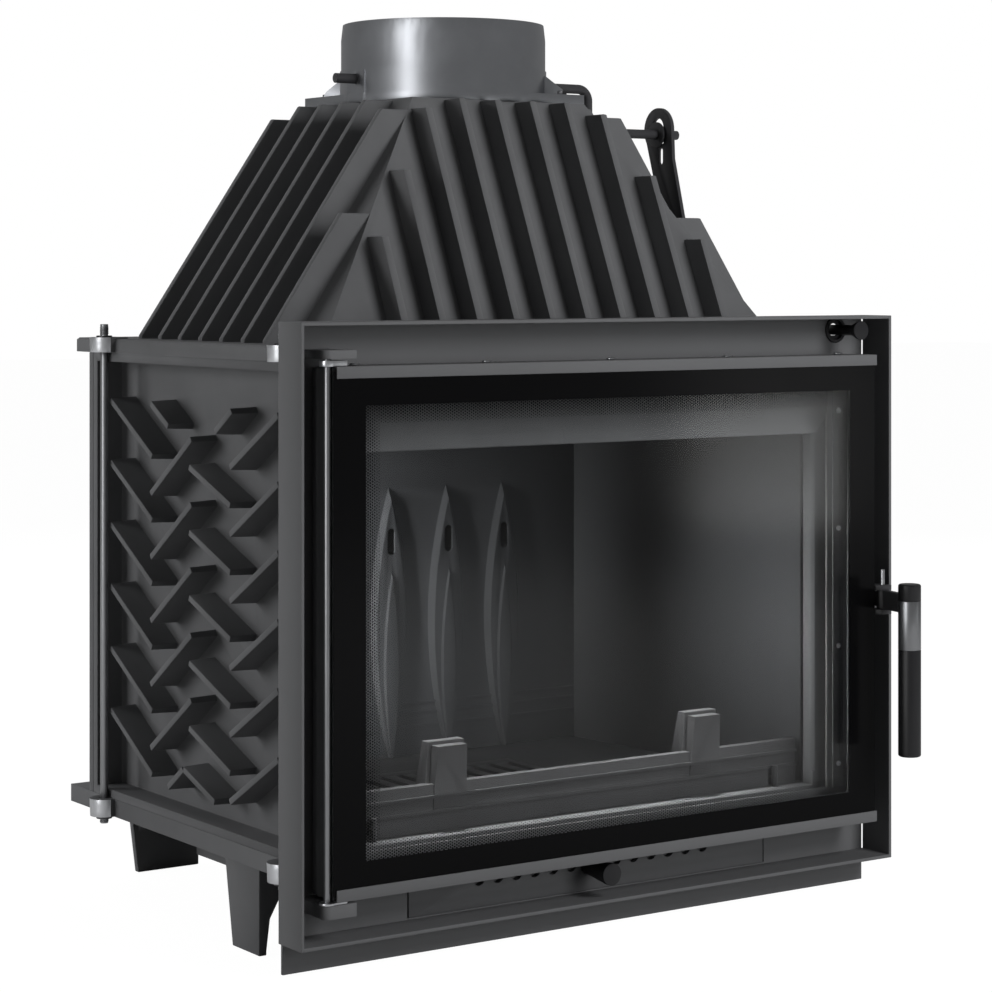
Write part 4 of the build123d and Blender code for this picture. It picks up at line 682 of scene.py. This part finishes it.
class INSERT_OT_screws(bpy.types.Operator):
    """Screw heads with sockets on the trims and the glass retainers"""

    bl_idname = "insert.screws"
    bl_label = "Screw heads"

    def execute(self, context):
        sizes = context.scene.insert_sizes
        low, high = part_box("trim_screws")
        radius, height = sizes.screw_radius, sizes.screw_height
        master = socket_head(radius, height)
        reach = high[0] - radius
        y = (low[1] + high[1]) / 2
        half = TRIM_SCREWS // 2
        heads = []
        for k in range(-half, half + 1):
            x = k * reach / half
            heads.append(turned_copy(master, (x, y, high[2] - height), (0, 0, 0)))
            heads.append(turned_copy(master, (x, y, low[2] + height), (math.pi, 0, 0)))
        only(master)
        bpy.ops.object.delete()
        screws = joined(heads, "trim_screw_heads")
        finish_piece(screws, "door", finish("plated"), ("trim_screws",))
        low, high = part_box("retainer_screws")
        radius, height = sizes.stud_radius, sizes.stud_height
        master = socket_head(radius, height)
        first, last = low[2] + radius, high[2] - radius
        heads = []
        for k in range(RETAINER_SCREWS):
            z = first + k * (last - first) / (RETAINER_SCREWS - 1)
            for x in (low[0] + radius, high[0] - radius):
                heads.append(turned_copy(master, (x, high[1], z), (math.pi / 2, 0, 0)))
        only(master)
        bpy.ops.object.delete()
        screws = joined(heads, "retainer_screw_heads")
        finish_piece(screws, "door", finish("plated"), ("retainer_screws",))
        return {"FINISHED"}


def round_bar(radius, low, high):
    """A round bar on the Z axis between two heights, as a start for a turned piece."""
    bpy.ops.object.select_all(action="DESELECT")
    bpy.ops.mesh.primitive_cylinder_add(
        vertices=BAR_SIDES, radius=radius, depth=high - low, location=(0, 0, (low + high) / 2)
    )
    bar = bpy.context.object
    place_in_mesh(bar)
    return bar


class INSERT_OT_bushing(bpy.types.Operator):
    """Flanged black bushing, a guessed piece, that closes the pull rod's hole in the front plate;
    its black stands in for the shade seen in that hole
    """

    bl_idname = "insert.bushing"
    bl_label = "Pull rod bushing"

    def execute(self, context):
        sizes = context.scene.insert_sizes
        low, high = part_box("pull_rod")
        x, z = (low[0] + high[0]) / 2, (low[2] + high[2]) / 2
        plate_low, plate_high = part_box("front_plate")
        back = plate_high[1]
        plate = back - plate_low[1]
        front = plate + sizes.bushing_flange
        ring = round_bar(sizes.bushing_radius, plate, front)
        apply_bevel(ring, sizes.bushing_flange * FLANGE_SHOULDER, 3, TURNED_EDGE_ANGLE)
        join_with(ring, round_bar(sizes.bushing_barrel, 0.0, plate + BARREL_OVERLAP))
        cut_with(ring, round_bar(sizes.bushing_mouth, sizes.bushing_wall, front * 2))
        cut_with(ring, round_bar(sizes.bushing_bore, -front, front * 2))
        bpy.ops.object.shade_smooth_by_angle(angle=math.radians(SMOOTH_ANGLE))
        bushing = turned_copy(ring, (x, back, z), (math.pi / 2, 0, 0))
        bushing.name = "pull_rod_bushing"
        only(ring)
        bpy.ops.object.delete()
        # The bushing's black is painted shade over the rod's hole, on a guessed piece
        finish_piece(bushing, "stove", finish("bakelite"))
        return {"FINISHED"}


def thread(length, pitch):
    """A fine thread round a tie rod's end, standing on the origin."""
    bpy.ops.object.select_all(action="DESELECT")
    bpy.ops.mesh.primitive_circle_add(
        vertices=3,
        radius=pitch * 0.5,
        location=(ROD_RADIUS, 0, 0),
        rotation=(math.pi / 2, 0, 0),
    )
    profile = bpy.context.object
    place_in_mesh(profile)
    turns = profile.modifiers.new("turns", "SCREW")
    turns.axis = "Z"
    turns.steps = turns.render_steps = THREAD_STEPS
    turns.screw_offset = pitch
    turns.iterations = max(int(length / pitch) - 1, 2)
    bpy.ops.object.modifier_apply(modifier=turns.name)
    bpy.ops.object.mode_set(mode="EDIT")
    bpy.ops.mesh.select_all(action="SELECT")
    bpy.ops.mesh.remove_doubles(threshold=THREAD_GAP)
    bpy.ops.mesh.fill_holes(sides=3)
    bpy.ops.mesh.normals_make_consistent(inside=False)
    bpy.ops.object.mode_set(mode="OBJECT")
    return profile


class INSERT_OT_threads(bpy.types.Operator):
    """Threads on both ends of the tie rods"""

    bl_idname = "insert.threads"
    bl_label = "Rod threads"

    def execute(self, context):
        pitch = context.scene.insert_sizes.thread_pitch
        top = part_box("tie_rod_washers")[1][2]
        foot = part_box("tie_rod_nuts")[0][2]
        pieces = []
        for start, end in ((top, ROD_HIGH[2]), (ROD_LOW[2], foot)):
            master = thread(end - start - pitch, pitch)
            for x, y in ROD_PLACES:
                pieces.append(copy_at(master, (x, y, start + pitch * THREAD_START)))
            only(master)
            bpy.ops.object.delete()
        whole = joined(pieces, "tie_rod_threads")
        finish_piece(whole, "stove", finish("rod"))
        return {"FINISHED"}


class INSERT_OT_door_glass(bpy.types.Operator):
    """Printed glass pane and its rope"""

    bl_idname = "insert.door_glass"
    bl_label = "Door glass"

    def execute(self, context):
        paint("door_glass", finish("glass"))
        rope = rounded_copy("door_seal", context.scene.insert_sizes.rope_round, 4, 35.0, 60.0)
        finish_piece(rope, "door", finish("rope"), ("door_seal",))
        return {"FINISHED"}


# Name, compass angle from the front and height in degrees, distance, width and height in metres,
# watts, and whether paint and iron, or metal and glass, see the lamp
LAMPS = (
    ("key_rear_left", 124.0, 7.0, 3.2, (1.5, 1.5), 84.0, True, False),
    ("key_rear_high", 160.0, 38.0, 3.2, (1.6, 1.6), 22.0, True, False),
    ("front_fill", -18.0, 26.0, 2.4, (0.8, 0.8), 42.0, True, False),
    ("front_low", -15.0, 4.0, 3.2, (1.3, 1.3), 42.0, True, False),
    ("top_soft", 0.0, 68.0, 3.2, (1.3, 1.3), 12.0, True, False),
    ("rear_right_soft", -140.0, 25.0, 3.2, (2.2, 2.2), 45.0, True, False),
    ("metal_glint", 75.0, 8.0, 3.2, (0.8, 3.6), 50.0, False, True),
    ("pane_glow", -40.5, -2.5, 3.3, (0.4, 0.4), 1.1, False, True),
)
LAMP_AIM = (0.0, 0.0, 0.42)

# Small lamps inside the firebox: name, place, aim, width and height, watts and spread in degrees
FIREBOX_LAMPS = (
    ("firebox_left", (-0.222, 0.115, 0.28), (-0.03, 0.197, 0.28), (0.02, 0.3), 0.42, 56.0),
    ("firebox_front", (-0.22, -0.125, 0.425), (0.25, -0.14, 0.25), (0.04, 0.04), 0.3, 44.0),
    ("firebox_top", (0.0, -0.132, 0.43), (0.0, -0.135, 0.1), (0.42, 0.01), 0.5, 26.0),
)
ROOM_LIGHT = 0.02
MIRROR_SHARE = 0.25
FLOOR_GLOW = 0.93
FLOOR_SIZE = 30.0
FLOOR_COLOUR = (0.45, 0.45, 0.45, 1)
FLOOR_ROUGH = 0.9
FLOOR_STRENGTH = 1.06


def soft_lamp(name, place, aim, size, power):
    """A soft lamp that points at a place."""
    bpy.ops.object.select_all(action="DESELECT")
    bpy.ops.object.light_add(type="AREA", location=place)
    lamp = bpy.context.object
    lamp.name = name
    lamp.data.shape = "RECTANGLE"
    lamp.data.size, lamp.data.size_y = size
    lamp.data.energy = power
    way = Vector(aim) - Vector(place)
    lamp.rotation_euler = way.to_track_quat("-Z", "Y").to_euler()
    lamp.visible_camera = False
    return lamp


def studio_lamp(name, turn, height, reach, size, power, on_matt, in_metal):
    """A soft lamp on a circle round the object."""
    turn, height = math.radians(turn), math.radians(height)
    way = Vector(
        (-math.sin(turn) * math.cos(height), -math.cos(turn) * math.cos(height), math.sin(height))
    )
    lamp = soft_lamp(name, Vector(LAMP_AIM) + way * reach, LAMP_AIM, size, power)
    lamp.visible_diffuse = on_matt
    lamp.visible_glossy = in_metal


def white_share(tree, mirrored):
    """How much of the plain white background each kind of ray sees."""
    rays = tree.nodes.new("ShaderNodeLightPath")
    seen = sum_node(
        tree, "MAXIMUM", rays.outputs["Is Camera Ray"], rays.outputs["Is Transmission Ray"]
    )
    glossy = sum_node(tree, "MULTIPLY", rays.outputs["Is Glossy Ray"], mirrored)
    return sum_node(tree, "MAXIMUM", seen, glossy)


def studio_world(scene):
    """A white room that lights the object evenly at a low level."""
    world = bpy.data.worlds.new("studio")
    world.use_nodes = True
    tree = world.node_tree
    tree.nodes.clear()
    seen = add_node(tree, "ShaderNodeBackground", Color=(1, 1, 1, 1), Strength=1.0)
    light = add_node(tree, "ShaderNodeBackground", Color=(1, 1, 1, 1), Strength=ROOM_LIGHT)
    mix = tree.nodes.new("ShaderNodeMixShader")
    tree.links.new(white_share(tree, MIRROR_SHARE), mix.inputs["Fac"])
    tree.links.new(light.outputs["Background"], mix.inputs[1])
    tree.links.new(seen.outputs["Background"], mix.inputs[2])
    output = tree.nodes.new("ShaderNodeOutputWorld")
    tree.links.new(mix.outputs["Shader"], output.inputs["Surface"])
    scene.world = world


def floor_material():
    """A white floor that keeps a faint shadow."""
    material, tree, shader = new_material("studio_floor")
    shader.inputs["Base Color"].default_value = FLOOR_COLOUR
    shader.inputs["Roughness"].default_value = FLOOR_ROUGH
    shader.inputs["Specular IOR Level"].default_value = 0.0
    glow = add_node(tree, "ShaderNodeEmission", Strength=FLOOR_STRENGTH)
    share = sum_node(tree, "MULTIPLY", white_share(tree, MIRROR_SHARE), FLOOR_GLOW)
    mix = tree.nodes.new("ShaderNodeMixShader")
    tree.links.new(share, mix.inputs["Fac"])
    tree.links.new(shader.outputs["BSDF"], mix.inputs[1])
    tree.links.new(glow.outputs["Emission"], mix.inputs[2])
    tree.links.new(mix.outputs["Shader"], tree.nodes["Material Output"].inputs["Surface"])
    return material


class INSERT_OT_stage(bpy.types.Operator):
    """Floor, lamps, world and camera"""

    bl_idname = "insert.stage"
    bl_label = "Stage"

    def execute(self, context):
        scene = context.scene
        studio_world(scene)
        bpy.ops.object.select_all(action="DESELECT")
        bpy.ops.mesh.primitive_plane_add(size=FLOOR_SIZE, location=(0, 0, 0))
        floor = context.object
        floor.name = "studio_floor_plane"
        floor.data.materials.append(floor_material())
        for lamp in LAMPS:
            studio_lamp(*lamp)
        for row in FIREBOX_LAMPS:
            lamp = soft_lamp(*row[:-1])
            lamp.data.spread = math.radians(row[-1])
        bpy.ops.object.camera_add(location=CAMERA_PLACE)
        camera = context.object
        camera.rotation_euler = (math.pi / 2, 0, math.radians(CAMERA_TURN))
        camera.data.lens = CAMERA_LENS
        camera.data.sensor_width = CAMERA_SENSOR
        camera.data.shift_y = CAMERA_SHIFT
        camera.data.clip_start, camera.data.clip_end = CAMERA_CLIP
        scene.camera = camera
        scene.view_settings.view_transform = "Standard"
        return {"FINISHED"}


class INSERT_PT_panel(bpy.types.Panel):
    """Buttons in the order in which the insert is built"""

    bl_idname = "INSERT_PT_panel"
    bl_label = "Fireplace insert"
    bl_space_type = "VIEW_3D"
    bl_region_type = "UI"
    bl_category = "Insert"

    def draw(self, context):
        for operator in STEPS:
            self.layout.operator(operator.bl_idname)
        for group in (context.scene.insert_colours, context.scene.insert_sizes):
            for name in group.bl_rna.properties.keys():
                if name not in ("rna_type", "name"):
                    self.layout.prop(group, name)


STEPS = (
    INSERT_OT_castings,
    INSERT_OT_sheets,
    INSERT_OT_metalwork,
    INSERT_OT_screws,
    INSERT_OT_bushing,
    INSERT_OT_threads,
    INSERT_OT_door_glass,
    INSERT_OT_stage,
)
CLASSES = (InsertColours, InsertSizes) + STEPS + (INSERT_PT_panel,)


def register():
    """Add the classes and their settings."""
    for item in CLASSES:
        bpy.utils.register_class(item)
    bpy.types.Scene.insert_colours = bpy.props.PointerProperty(type=InsertColours)
    bpy.types.Scene.insert_sizes = bpy.props.PointerProperty(type=InsertSizes)


def unregister():
    """Take the classes and their settings away."""
    del bpy.types.Scene.insert_sizes
    del bpy.types.Scene.insert_colours
    for item in reversed(CLASSES):
        bpy.utils.unregister_class(item)


def main():
    """Register the classes and build everything in order."""
    register()
    for operator in STEPS:
        group, name = operator.bl_idname.split(".")
        getattr(getattr(bpy.ops, group), name)()


if __name__ == "__main__":
    main()
